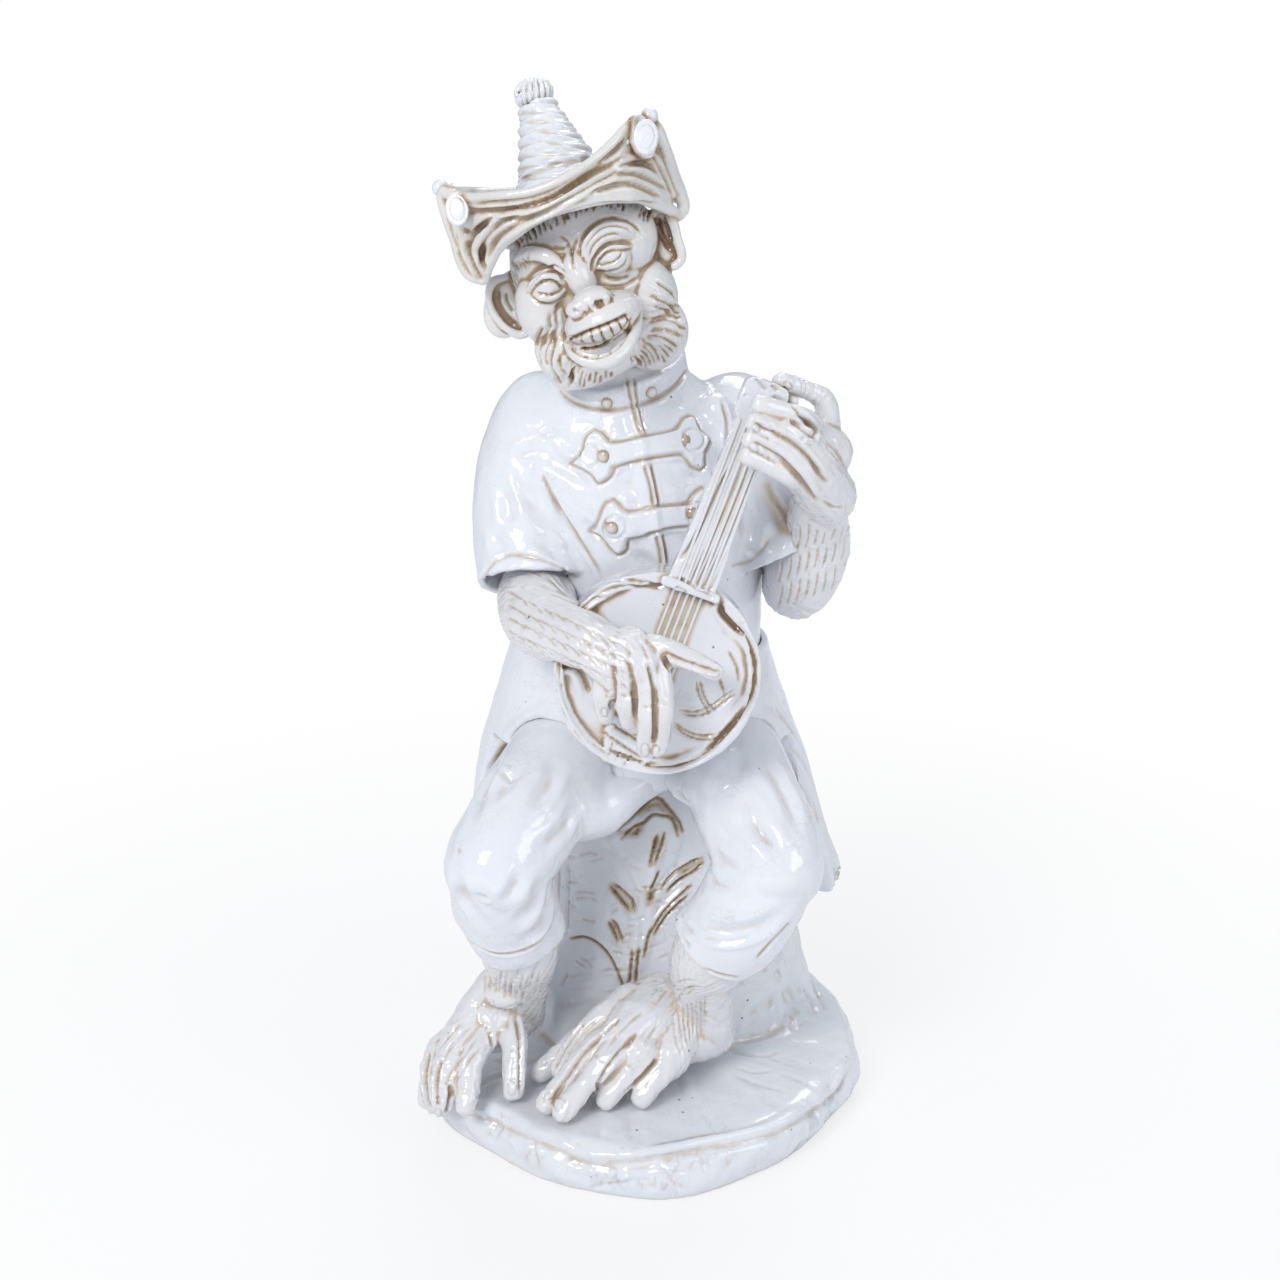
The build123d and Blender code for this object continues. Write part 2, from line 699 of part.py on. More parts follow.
# Head: skull, neck, brow and jutting muzzle in one casting
head_up = Vector(-0.40, -0.04, 0.91).normalized()
head_across = Vector(0.91, 0.06, 0.40).normalized()
skull_foot = pose["head"] - head_up * skull_radius * 0.42
skull_top = pose["head"] + head_up * skull_radius * 0.36
mouth_middle = (pose["upper_teeth"] + pose["lower_teeth"]) / 2
mouth_line = [pose["right_mouth_corner"], mouth_middle, pose["left_mouth_corner"]]
forward = Vector(0, -1, 0)
muzzle_radii = [muzzle_radius * 1.05, muzzle_radius]
brow_line = [pose[name] for name in ("right_brow", "mid_brow", "left_brow")]
head_masses = [
    limb([skull_foot, skull_top], [skull_radius * 0.94, skull_radius], across=head_across),
    limb([pose["neck_root"], skull_foot], [skull_radius * 0.72] * 2, round_start=False, round_end=False),
    limb([pose["muzzle_root"], pose["muzzle"]], muzzle_radii, 1.25, head_across, False),
    limb([pose["right_cheek"], pose["left_cheek"]], [cheek_radius] * 2, 1.2, forward),
    limb([pose["muzzle_root"], pose["chin"]], [chin_radius] * 2, 1.2, head_across),
    limb([pose["mid_brow"], pose["nose"]], [nostril_radius * 2, nostril_radius * 3], 1.2, head_across),
    limb(brow_line, [brow_radius] * 3, across=forward),
]
nostril_side = head_across * nostril_radius * 1.9
nostril_middle = pose["nose"] + forward * nostril_radius * 2
head_hollows = [
    ball(pose["right_eye"], eye_radius - eye_seat),
    ball(pose["left_eye"], eye_radius - eye_seat),
    ball(nostril_middle - nostril_side, nostril_radius),
    ball(nostril_middle + nostril_side, nostril_radius),
    limb(mouth_line, [mouth_radius * 0.6, mouth_radius, mouth_radius * 0.6], across=forward),
]
with BuildPart() as head:
    add(trimmed(united(head_masses), *head_hollows, torso.part, collar.part, collar_buttons.part))

# Eyes, lip, whiskers, ears and teeth
with BuildPart() as eyes:
    for side in ("right", "left"):
        add(trimmed(ball(pose[f"{side}_eye"], eye_radius), head.part))
with BuildPart() as lower_lip:
    lip_line = [pose["right_mouth_corner"], pose["lower_lip"], pose["left_mouth_corner"]]
    lip_radii = [lip_radius * 0.6, lip_radius, lip_radius * 0.6]
    add(trimmed(limb(lip_line, lip_radii, across=forward), head.part))
with BuildPart() as whisker_ruff:
    ruff_radii = [ruff_radius * 0.7, ruff_radius, ruff_radius]
    right_band = limb([pose["right_ear"], pose["right_ruff"], pose["beard"]], ruff_radii, across=forward)
    left_band = limb([pose["left_ear"], pose["left_ruff"], pose["beard"]], ruff_radii, across=forward)
    neck_parts = [torso.part, collar.part, collar_buttons.part]
    add(trimmed(united([right_band, left_band]), head.part, lower_lip.part, *neck_parts))


def ear(side, sign):
    """One cupped ear, facing forward and out."""
    facing = (forward + head_across * 0.45 * sign).normalized()
    with BuildPart() as cup:
        with Locations(Plane(pose[f"{side}_ear"], x_dir=head_up, z_dir=facing)):
            Sphere(ear_radius, arc_size1=-90, arc_size2=0)
            Sphere(ear_radius - ear_wall, mode=Mode.SUBTRACT)
    return cup.part


with BuildPart() as right_ear:
    add(trimmed(ear("right", -1), head.part, whisker_ruff.part))
with BuildPart() as left_ear:
    add(trimmed(ear("left", 1), head.part, whisker_ruff.part))


def tooth_row(middle, slit_count, shift):
    """A row of teeth along an arc between the corners of the mouth, slit into single teeth."""
    right_end, left_end = pose["right_mouth_corner"] + shift, pose["left_mouth_corner"] + shift
    sag = middle - (right_end + left_end) / 2
    slits = []
    for i in range(slit_count):
        share = (i + 1) / (slit_count + 1)
        place = right_end * (1 - share) + left_end * share + sag * 4 * share * (1 - share)
        with BuildPart() as slit:
            with Locations(Plane(place, x_dir=head_across, z_dir=head_up)):
                reach = (Align.CENTER, Align.MAX, Align.CENTER)
                Box(tooth_gap, tooth_radius, tooth_radius * 4, align=reach)
        slits.append(slit.part)
    radii = [tooth_radius * 0.7, tooth_radius, tooth_radius * 0.7]
    return limb([right_end, middle, left_end], radii, across=forward) - slits


row_shift = head_up * tooth_radius * 0.8


with BuildPart() as upper_teeth:
    add(trimmed(tooth_row(pose["upper_teeth"], upper_slit_count, row_shift), head.part, lower_lip.part))
with BuildPart() as lower_teeth:
    add(trimmed(tooth_row(pose["lower_teeth"], lower_slit_count, -row_shift), head.part, lower_lip.part))

# Hat: an upturned brim drooping over both ears, a ribbed crown and a fluted tuft
hat_up = Vector(-0.315, 0.02, 0.949).normalized()
hat_plane = Plane(pose["hat"], x_dir=(0.949, 0, 0.315), z_dir=hat_up)


def brim_ring(inset):
    """The brim's flaring wall, moved in by a given amount."""
    with BuildPart() as ring:
        for level in (-1, 0, 1):
            half_width = hat_half_width + hat_flare * level - inset
            half_depth = hat_half_depth + hat_flare * level - inset
            with BuildSketch(hat_plane.offset(hat_rise * level * 1.4)):
                Ellipse(half_width, half_depth)
        loft()
    return ring.part


brim_side = Plane(hat_plane.origin, x_dir=hat_plane.x_dir, z_dir=hat_plane.y_dir * -1)
with BuildPart() as brim_saddle:
    with BuildSketch(brim_side):
        with BuildLine():
            reach = hat_half_width + overrun
            ThreePointArc((-reach, hat_rise), (0, hat_front_rise), (reach, hat_rise))
            Line((reach, hat_rise), (reach, -hat_fall))
            ThreePointArc((reach, -hat_fall), (0, -hat_front_fall), (-reach, -hat_fall))
            Line((-reach, -hat_fall), (-reach, hat_rise))
        make_face()
    extrude(amount=hat_half_depth + overrun, both=True)
face_castings = [head.part, right_ear.part, left_ear.part, whisker_ruff.part]
with BuildPart() as brim_blank:
    add(brim_ring(0))
    add(brim_ring(hat_edge), mode=Mode.SUBTRACT)
    add(brim_saddle.part, mode=Mode.INTERSECT)
with BuildPart() as hat_brim:
    add(trimmed(brim_blank.part, *face_castings))
crown_way = (pose["crown_tip"] - pose["hat"]).normalized()
crown_plane = Plane(pose["hat"], x_dir=(0.949, 0, 0.315), z_dir=crown_way)
dish_radius = hat_half_width - hat_edge * 1.5
with BuildPart() as crown_blank:
    with BuildSketch(Plane(crown_plane.origin, x_dir=crown_plane.x_dir, z_dir=crown_plane.y_dir * -1)):
        with BuildLine():
            wall = [(crown_base_radius, 0)]
            for i in range(crown_fold_count):
                for part_share, out in ((0.5, 1), (1.0, 0)):
                    rise_share = (i + part_share) / crown_fold_count
                    radius = crown_base_radius + (crown_tip_radius - crown_base_radius) * rise_share**0.8
                    wall.append((radius + crown_fold_depth * out, crown_length * rise_share))
            Spline(*wall)
            Polyline(
                wall[-1],
                (0, crown_length),
                (0, -hat_front_fall),
                (dish_radius, -hat_front_fall * 2),
                (dish_radius, -hat_front_fall),
                wall[0],
            )
        make_face()
    revolve(axis=Axis(crown_plane.origin, crown_plane.z_dir))
with BuildPart() as hat_crown:
    add(trimmed(crown_blank.part, hat_brim.part, head.part))
tuft_base = crown_plane.offset(crown_length)
tuft_level_shares = ((0.0, 0.68), (0.55, 1.0), (1.0, 0.55))
with BuildPart() as pompom:
    for height_share, size_share in tuft_level_shares:
        with BuildSketch(tuft_base.offset(tuft_height * height_share)):
            Circle(tuft_radius * size_share)
    loft()
    with BuildSketch(tuft_base):
        with PolarLocations(tuft_radius, tuft_flute_count):
            Circle(flute_radius)
    extrude(amount=tuft_height, mode=Mode.SUBTRACT)

# Medallions and finials on the brim's two horns


def medallion(side):
    """An oval disc lying against the brim."""
    outward = pose[f"{side}_medal"] - pose["hat"]
    outward = (outward - hat_up * outward.dot(hat_up)).normalized()
    start = pose[f"{side}_medal"] - outward * medal_thickness
    with BuildPart() as disc:
        with BuildSketch(Plane(start, x_dir=hat_up.cross(outward), z_dir=outward)):
            Ellipse(medal_half_width, medal_half_height)
        extrude(amount=medal_thickness * 1.5)
    return disc.part


with BuildPart() as brim_medallions:
    for side in ("right", "left"):
        add(trimmed(medallion(side), hat_brim.part))
with BuildPart() as brim_finials:
    for side in ("right", "left"):
        add(trimmed(ball(pose[f"{side}_finial"], finial_radius), hat_brim.part, brim_medallions.part))

pieces = {
    "plinth": plinth,
    "rock_mound": rock_mound,
    "leaf_plant": leaf_plant,
    "torso": torso,
    "right_trouser_leg": right_trouser_leg,
    "left_trouser_leg": left_trouser_leg,
    "coat_skirt": coat_skirt,
    "right_shin": right_shin,
    "left_shin": left_shin,
    "right_foot": right_foot,
    "left_foot": left_foot,
    "right_sleeve": right_sleeve,
    "left_sleeve": left_sleeve,
    "right_forearm": right_forearm,
    "left_forearm": left_forearm,
    "right_hand": right_hand,
    "left_hand": left_hand,
    "banjo_body": banjo_body,
    "banjo_rim": banjo_rim,
    "banjo_neck": banjo_neck,
    "banjo_headstock": banjo_headstock,
    "banjo_pegs": banjo_pegs,
    "banjo_nut": banjo_nut,
    "banjo_bridge": banjo_bridge,
    "banjo_tailpiece": banjo_tailpiece,
    "banjo_strings": banjo_strings,
    "collar": collar,
    "placket": placket,
    "upper_frog": upper_frog,
    "lower_frog": lower_frog,
    "frog_buttons": frog_buttons,
    "collar_buttons": collar_buttons,
    "head": head,
    "eyes": eyes,
    "right_ear": right_ear,
    "left_ear": left_ear,
    "whisker_ruff": whisker_ruff,
    "lower_lip": lower_lip,
    "upper_teeth": upper_teeth,
    "lower_teeth": lower_teeth,
    "hat_brim": hat_brim,
    "hat_crown": hat_crown,
    "pompom": pompom,
    "brim_medallions": brim_medallions,
    "brim_finials": brim_finials,
}
os.makedirs("parts", exist_ok=True)
for name, piece in pieces.items():
    piece.part.label = name
    export_step(piece.part, f"parts/{name}.step")
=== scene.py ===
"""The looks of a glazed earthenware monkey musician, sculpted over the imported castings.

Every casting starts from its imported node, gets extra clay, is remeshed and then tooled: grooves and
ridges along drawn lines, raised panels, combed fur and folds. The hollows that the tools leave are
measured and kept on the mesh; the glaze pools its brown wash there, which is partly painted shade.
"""

from __future__ import annotations

import logging
import math
from dataclasses import dataclass, field
from enum import Enum

import bmesh
import bpy
import numpy as np
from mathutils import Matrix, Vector
from mathutils.bvhtree import BVHTree

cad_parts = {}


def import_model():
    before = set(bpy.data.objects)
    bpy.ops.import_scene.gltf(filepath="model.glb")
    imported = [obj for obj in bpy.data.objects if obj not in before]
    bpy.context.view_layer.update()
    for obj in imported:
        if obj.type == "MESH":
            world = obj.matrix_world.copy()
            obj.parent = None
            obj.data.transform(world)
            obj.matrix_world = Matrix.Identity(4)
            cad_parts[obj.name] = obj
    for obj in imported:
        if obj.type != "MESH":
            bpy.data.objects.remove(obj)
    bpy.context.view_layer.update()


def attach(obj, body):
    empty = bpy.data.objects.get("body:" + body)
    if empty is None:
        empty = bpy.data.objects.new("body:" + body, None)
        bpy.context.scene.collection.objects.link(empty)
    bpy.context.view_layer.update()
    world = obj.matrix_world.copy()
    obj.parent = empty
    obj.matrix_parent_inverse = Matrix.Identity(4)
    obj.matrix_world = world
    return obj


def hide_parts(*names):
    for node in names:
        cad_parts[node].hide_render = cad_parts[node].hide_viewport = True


log = logging.getLogger("monkey")
MM = 0.001
FIGURE_HEIGHT = 0.5
Path = list[tuple[float, float]]


# Drawing view


@dataclass(frozen=True)
class DrawingView:
    """The view that lines are drawn in: u to the right and v down, on a square of 1280."""

    place: tuple[float, float, float] = (0.0, -0.8654, 0.5106)
    pitch: float = math.radians(17.7)
    focal: float = 1855.0
    middle: float = 640.0

    def axes(self) -> tuple[np.ndarray, np.ndarray, np.ndarray]:
        """Returns the view's right, up and forward directions."""
        sin, cos = math.sin(self.pitch), math.cos(self.pitch)
        return np.array([1.0, 0, 0]), np.array([0, sin, cos]), np.array([0, cos, -sin])

    def ray(self, u: float, v: float) -> Vector:
        """Returns the direction through a drawn point.

        Args:
            u: The point's place to the right.
            v: The point's place down.
        """
        right, up, ahead = self.axes()
        way = ahead + (u - self.middle) / self.focal * right + (self.middle - v) / self.focal * up
        return Vector(way).normalized()

    def spot(self, u: float, v: float, y: float) -> np.ndarray:
        """Returns the place in metres behind a drawn point.

        Args:
            u: The point's place to the right.
            v: The point's place down.
            y: How far back the place is, in millimetres.
        """
        way = np.array(self.ray(u, v))
        start = np.array(self.place)
        return start + way * (y * MM - start[1]) / way[1]

    def drawn(self, points: np.ndarray) -> tuple[np.ndarray, np.ndarray]:
        """Returns where points appear in the drawing, and how far off they are.

        Args:
            points: Places in metres, one row each.
        """
        right, up, ahead = self.axes()
        away = points - np.array(self.place)
        depth = away @ ahead
        u = self.middle + self.focal * (away @ right) / depth
        v = self.middle - self.focal * (away @ up) / depth
        return np.stack([u, v], 1), depth


VIEW = DrawingView()


# Number helpers


def at(x: float, y: float, z: float) -> np.ndarray:
    """Returns a place given in shares of the figure's height."""
    return np.array([x, y, z]) * FIGURE_HEIGHT


def ease(low: float, high: float, value: np.ndarray) -> np.ndarray:
    """Returns a smooth step from 0 at low to 1 at high."""
    t = np.clip((value - low) / (high - low), 0, 1)
    return t * t * (3 - 2 * t)


def lattice(cell: np.ndarray) -> np.ndarray:
    """Returns one random number from 0 to 1 for each integer cell."""
    mixed = cell[..., 0] * 374761393 + cell[..., 1] * 668265263 + cell[..., 2] * 2147483029
    mixed = (mixed ^ (mixed >> 13)) * 1274126177
    return ((mixed ^ (mixed >> 16)) & 0xFFFFFF) / float(0xFFFFFF)


def noise(points: np.ndarray) -> np.ndarray:
    """Returns smooth noise from -1 to 1 at each point, one cell per unit."""
    base = np.floor(points).astype(np.int64)
    part = points - base
    part = part * part * (3 - 2 * part)
    total = np.zeros(len(points))
    for corner in np.ndindex(2, 2, 2):
        shift = np.array(corner)
        weight = np.prod(np.where(shift, part, 1 - part), axis=1)
        total += weight * lattice(base + shift)
    return total * 2 - 1


def layered(points: np.ndarray, layers: int = 3) -> np.ndarray:
    """Returns noise with finer layers added."""
    return sum(noise(points * 2.03**i + 17.3 * i) * 0.5**i for i in range(layers))


def along(points: np.ndarray, step: float) -> np.ndarray:
    """Returns a smooth line through points, with a point every step."""
    points = np.asarray(points, float)
    if len(points) < 3:
        count = max(2, int(np.linalg.norm(points[-1] - points[0]) / step) + 1)
        return points[0] + (points[-1] - points[0]) * np.linspace(0, 1, count)[:, None]
    padded = np.vstack([2 * points[0] - points[1], points, 2 * points[-1] - points[-2]])
    line = [points[:1]]
    for i in range(len(points) - 1):
        a, b, c, d = padded[i : i + 4]
        count = max(2, int(np.linalg.norm(c - b) / step) + 1)
        t = np.linspace(0, 1, count)[1:, None]
        line.append(
            0.5 * (
                2 * b + (c - a) * t + (2 * a - 5 * b + 4 * c - d) * t**2 + (3 * b - a - 3 * c + d) * t**3
            )
        )
    return np.vstack(line)


def to_line(points: np.ndarray, line: np.ndarray) -> tuple[np.ndarray, np.ndarray]:
    """Returns each point's distance from a line and its share of the way along it."""
    best = np.full(len(points), 1e9)
    share = np.zeros(len(points))
    lengths = np.linalg.norm(np.diff(line, axis=0), axis=1)
    total, run = max(lengths.sum(), 1e-9), 0.0
    for i, length in enumerate(lengths):
        way = line[i + 1] - line[i]
        t = np.clip(((points - line[i]) @ way) / max(length**2, 1e-12), 0, 1)
        gap = np.linalg.norm(points - line[i] - t[:, None] * way, axis=1)
        closer = gap < best
        best[closer] = gap[closer]
        share[closer] = (run + t[closer] * length) / total
        run += length
    return best, share


def inside(points: np.ndarray, outline: np.ndarray) -> np.ndarray:
    """Returns how far each drawn point lies inside an outline, negative outside."""
    closed = np.vstack([outline, outline[:1]])
    gap, _ = to_line(points, closed)
    odd = np.zeros(len(points), bool)
    for (x0, y0), (x1, y1) in zip(closed[:-1], closed[1:]):
        crosses = (y0 > points[:, 1]) != (y1 > points[:, 1])
        x = x0 + (points[:, 1] - y0) * (x1 - x0) / (y1 - y0 if y1 != y0 else 1e-9)
        odd ^= crosses & (points[:, 0] < x)
    return np.where(odd, gap, -gap)


def oval(u: float, v: float, wide: float, high: float, turn: float = 0.0) -> Path:
    """Returns a closed oval in the drawing.

    Args:
        u: Its middle, to the right.
        v: Its middle, down.
        wide: Its half width.
        high: Its half height.
        turn: Its turn in degrees.
    """
    sin, cos = math.sin(math.radians(turn)), math.cos(math.radians(turn))
    steps = [2 * math.pi * i / 14 for i in range(15)]
    return [
        (
            u + wide * math.cos(t) * cos - high * math.sin(t) * sin,
            v + wide * math.cos(t) * sin + high * math.sin(t) * cos
        )
        for t in steps
    ]


def cross(one: Path, two: Path, share: float) -> Path:
    """Returns the short line from one drawn line to another at a share of their lengths."""
    ends = []
    for path in (one, two):
        line = along(np.array(path, float), 1.0)
        ends.append(tuple(line[int(share * (len(line) - 1))]))
    return ends


def fan(one: Path, two: Path, count: int) -> list[Path]:
    """Returns drawn lines spread evenly between two others."""
    lines = [along(np.array(path, float), 1.0) for path in (one, two)]
    picks = [line[np.linspace(0, len(line) - 1, 6).astype(int)] for line in lines]
    return [
        [tuple(p) for p in picks[0] * (1 - t) + picks[1] * t]
        for t in ((i + 1) / (count + 1) for i in range(count))
    ]


def strokes(top: Path, foot: Path, count: int, sway: float, ragged: float) -> list[Path]:
    """Returns short hairs from one drawn line towards another.

    Args:
        top: Where the hairs start.
        foot: Where they end.
        count: How many.
        sway: How far a hair bends to the side.
        ragged: How much the lengths differ.
    """
    draws = np.random.default_rng(7)
    made = []
    for i in range(count):
        (u0, v0), (u1, v1) = cross(top, foot, min(max((i + draws.uniform(-0.3, 0.3)) / count, 0), 1))
        reach = 1 - ragged * draws.uniform(0, 1)
        bend = sway * draws.uniform(-1, 1)
        u1, v1 = u0 + (u1 - u0) * reach, v0 + (v1 - v0) * reach
        made.append([(u0, v0), ((u0 + u1) / 2 + bend, (v0 + v1) / 2), (u1 + bend * 0.4, v1)])
    return made


# Modelling


def select_only(objects: list[bpy.types.Object]) -> None:
    """Selects these objects and no others, and makes the first one active."""
    bpy.ops.object.select_all(action="DESELECT")
    for obj in objects:
        obj.select_set(True)
    bpy.context.view_layer.objects.active = objects[0]


def apply_modifiers(obj: bpy.types.Object) -> None:
    """Applies all modifiers of an object in order."""
    select_only([obj])
    for modifier in list(obj.modifiers):
        bpy.ops.object.modifier_apply(modifier=modifier.name)


def ball(
    centre: np.ndarray,
    radii: tuple[float, float, float] | float,
    turn: tuple[float, float, float] = (0, 0, 0),
) -> bpy.types.Object:
    """Adds a round lump of clay.

    Args:
        centre: Its place in metres.
        radii: Its three half sizes in millimetres, or one for all.
        turn: Its rotation in degrees.

    Returns:
        The new object.
    """
    sizes = radii if isinstance(radii, tuple) else (radii,) * 3
    bpy.ops.mesh.primitive_uv_sphere_add(
        segments=28,
        ring_count=18,
        radius=1,
        location=tuple(centre),
        rotation=tuple(math.radians(a) for a in turn),
        scale=tuple(size * MM for size in sizes),
    )
    bpy.ops.object.transform_apply(location=True, rotation=True, scale=True)
    return bpy.context.active_object


def roll(points: list[np.ndarray], radii: list[float]) -> bpy.types.Object:
    """Adds a rolled coil of clay along a line.

    Args:
        points: Places in metres.
        radii: The coil's radius at each place, in millimetres.

    Returns:
        The new object.
    """
    line = along(np.array(points), 1.5 * MM)
    shares = np.linspace(0, 1, len(points))
    size = np.interp(np.linspace(0, 1, len(line)), shares, radii) * MM
    ways = np.gradient(line, axis=0)
    ways /= np.linalg.norm(ways, axis=1)[:, None] + 1e-12
    cap = np.sin(np.linspace(0, math.pi / 2, 4))
    places, sizes, heads = [], [], []
    for share in cap[::-1][:-1]:
        places.append(line[0] - ways[0] * size[0] * share)
        sizes.append(size[0] * math.sqrt(max(1 - share**2, 0.01)))
        heads.append(ways[0])
    places += list(line)
    sizes += list(size)
    heads += list(ways)
    for share in cap[1:]:
        places.append(line[-1] + ways[-1] * size[-1] * share)
        sizes.append(size[-1] * math.sqrt(max(1 - share**2, 0.01)))
        heads.append(ways[-1])
    sides = 14
    vertices, faces = [], []
    side = np.cross(heads[0], [0, -1, 0.3])
    for place, radius, way in zip(places, sizes, heads):
        side = side - way * (side @ way)
        side /= np.linalg.norm(side) + 1e-12
        other = np.cross(way, side)
        for i in range(sides):
            angle = 2 * math.pi * i / sides
            vertices.append(place + radius * (math.cos(angle) * side + math.sin(angle) * other))
    for ring in range(len(places) - 1):
        for i in range(sides):
            j = (i + 1) % sides
            faces.append(
                (ring * sides + i, ring * sides + j, (ring + 1) * sides + j, (ring + 1) * sides + i)
            )
    last = (len(places) - 1) * sides
    faces.append(tuple(range(sides))[::-1])
    faces.append(tuple(range(last, last + sides)))
    mesh = bpy.data.meshes.new("coil")
    mesh.from_pydata([tuple(v) for v in vertices], [], faces)
    coil = bpy.data.objects.new("coil", mesh)
    bpy.context.scene.collection.objects.link(coil)
    return coil


def node_copy(name: str) -> bpy.types.Object:
    """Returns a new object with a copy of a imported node's mesh, its loose corners welded."""
    source = bpy.data.objects[name]
    copy = bpy.data.objects.new(f"{name}_clay", source.data.copy())
    copy.data.materials.clear()
    bpy.context.scene.collection.objects.link(copy)
    select_only([copy])
    bpy.ops.object.mode_set(mode="EDIT")
    bpy.ops.mesh.select_all(action="SELECT")
    bpy.ops.mesh.remove_doubles(threshold=0.00001)
    bpy.ops.object.mode_set(mode="OBJECT")
    return copy


def refine(obj: bpy.types.Object, box: tuple[float, float, float, float]) -> None:
    """Splits the faces seen in a drawn box, so that they hold finer tool marks.

    Args:
        obj: The piece.
        box: The box's left, top, right and bottom in the drawing view.
    """
    form = bmesh.new()
    form.from_mesh(obj.data)
    faces = list(form.faces)
    places = np.array([tuple(face.calc_center_median()) for face in faces])
    ways = np.array([tuple(face.normal) for face in faces])
    uv, _ = VIEW.drawn(places)
    toward = np.einsum("ij,ij->i", places - np.array(VIEW.place), ways) < 0
    seen = toward & (uv[:, 0] > box[0]) & (uv[:, 0] < box[2]) & (uv[:, 1] > box[1]) & (uv[:, 1] < box[3])
    edges = {edge for i in np.flatnonzero(seen) for edge in faces[i].edges}
    order = sorted(edges, key=lambda edge: edge.index)
    bmesh.ops.subdivide_edges(form, edges=order, cuts=1, use_grid_fill=True)
    form.to_mesh(obj.data)
    form.free()


def fuse(
    name: str,
    sources: list[bpy.types.Object],
    voxel: float,
    rounds: int,
    fine: tuple[float, float, float, float] | None = None,
) -> Clay:
    """Joins lumps of clay into one skin.

    Args:
        name: The piece's name.
        sources: The lumps.
        voxel: The skin's mesh size in millimetres.
        rounds: How often the joins are wiped smooth.
        fine: The drawn box that gets a finer mesh.

    Returns:
        The clay, ready for the tools.
    """
    select_only(sources)
    if len(sources) > 1:
        bpy.ops.object.join()
    obj = bpy.context.active_object
    obj.name = name
    obj.data.name = name
    remesh = obj.modifiers.new("skin", "REMESH")
    remesh.mode = "VOXEL"
    remesh.voxel_size = voxel * MM
    remesh.adaptivity = 0
    apply_modifiers(obj)
    clay = Clay(obj)
    clay.wipe(rounds)
    if fine:
        refine(obj, fine)
        clay = Clay(obj)
        clay.wipe(2)
    return clay


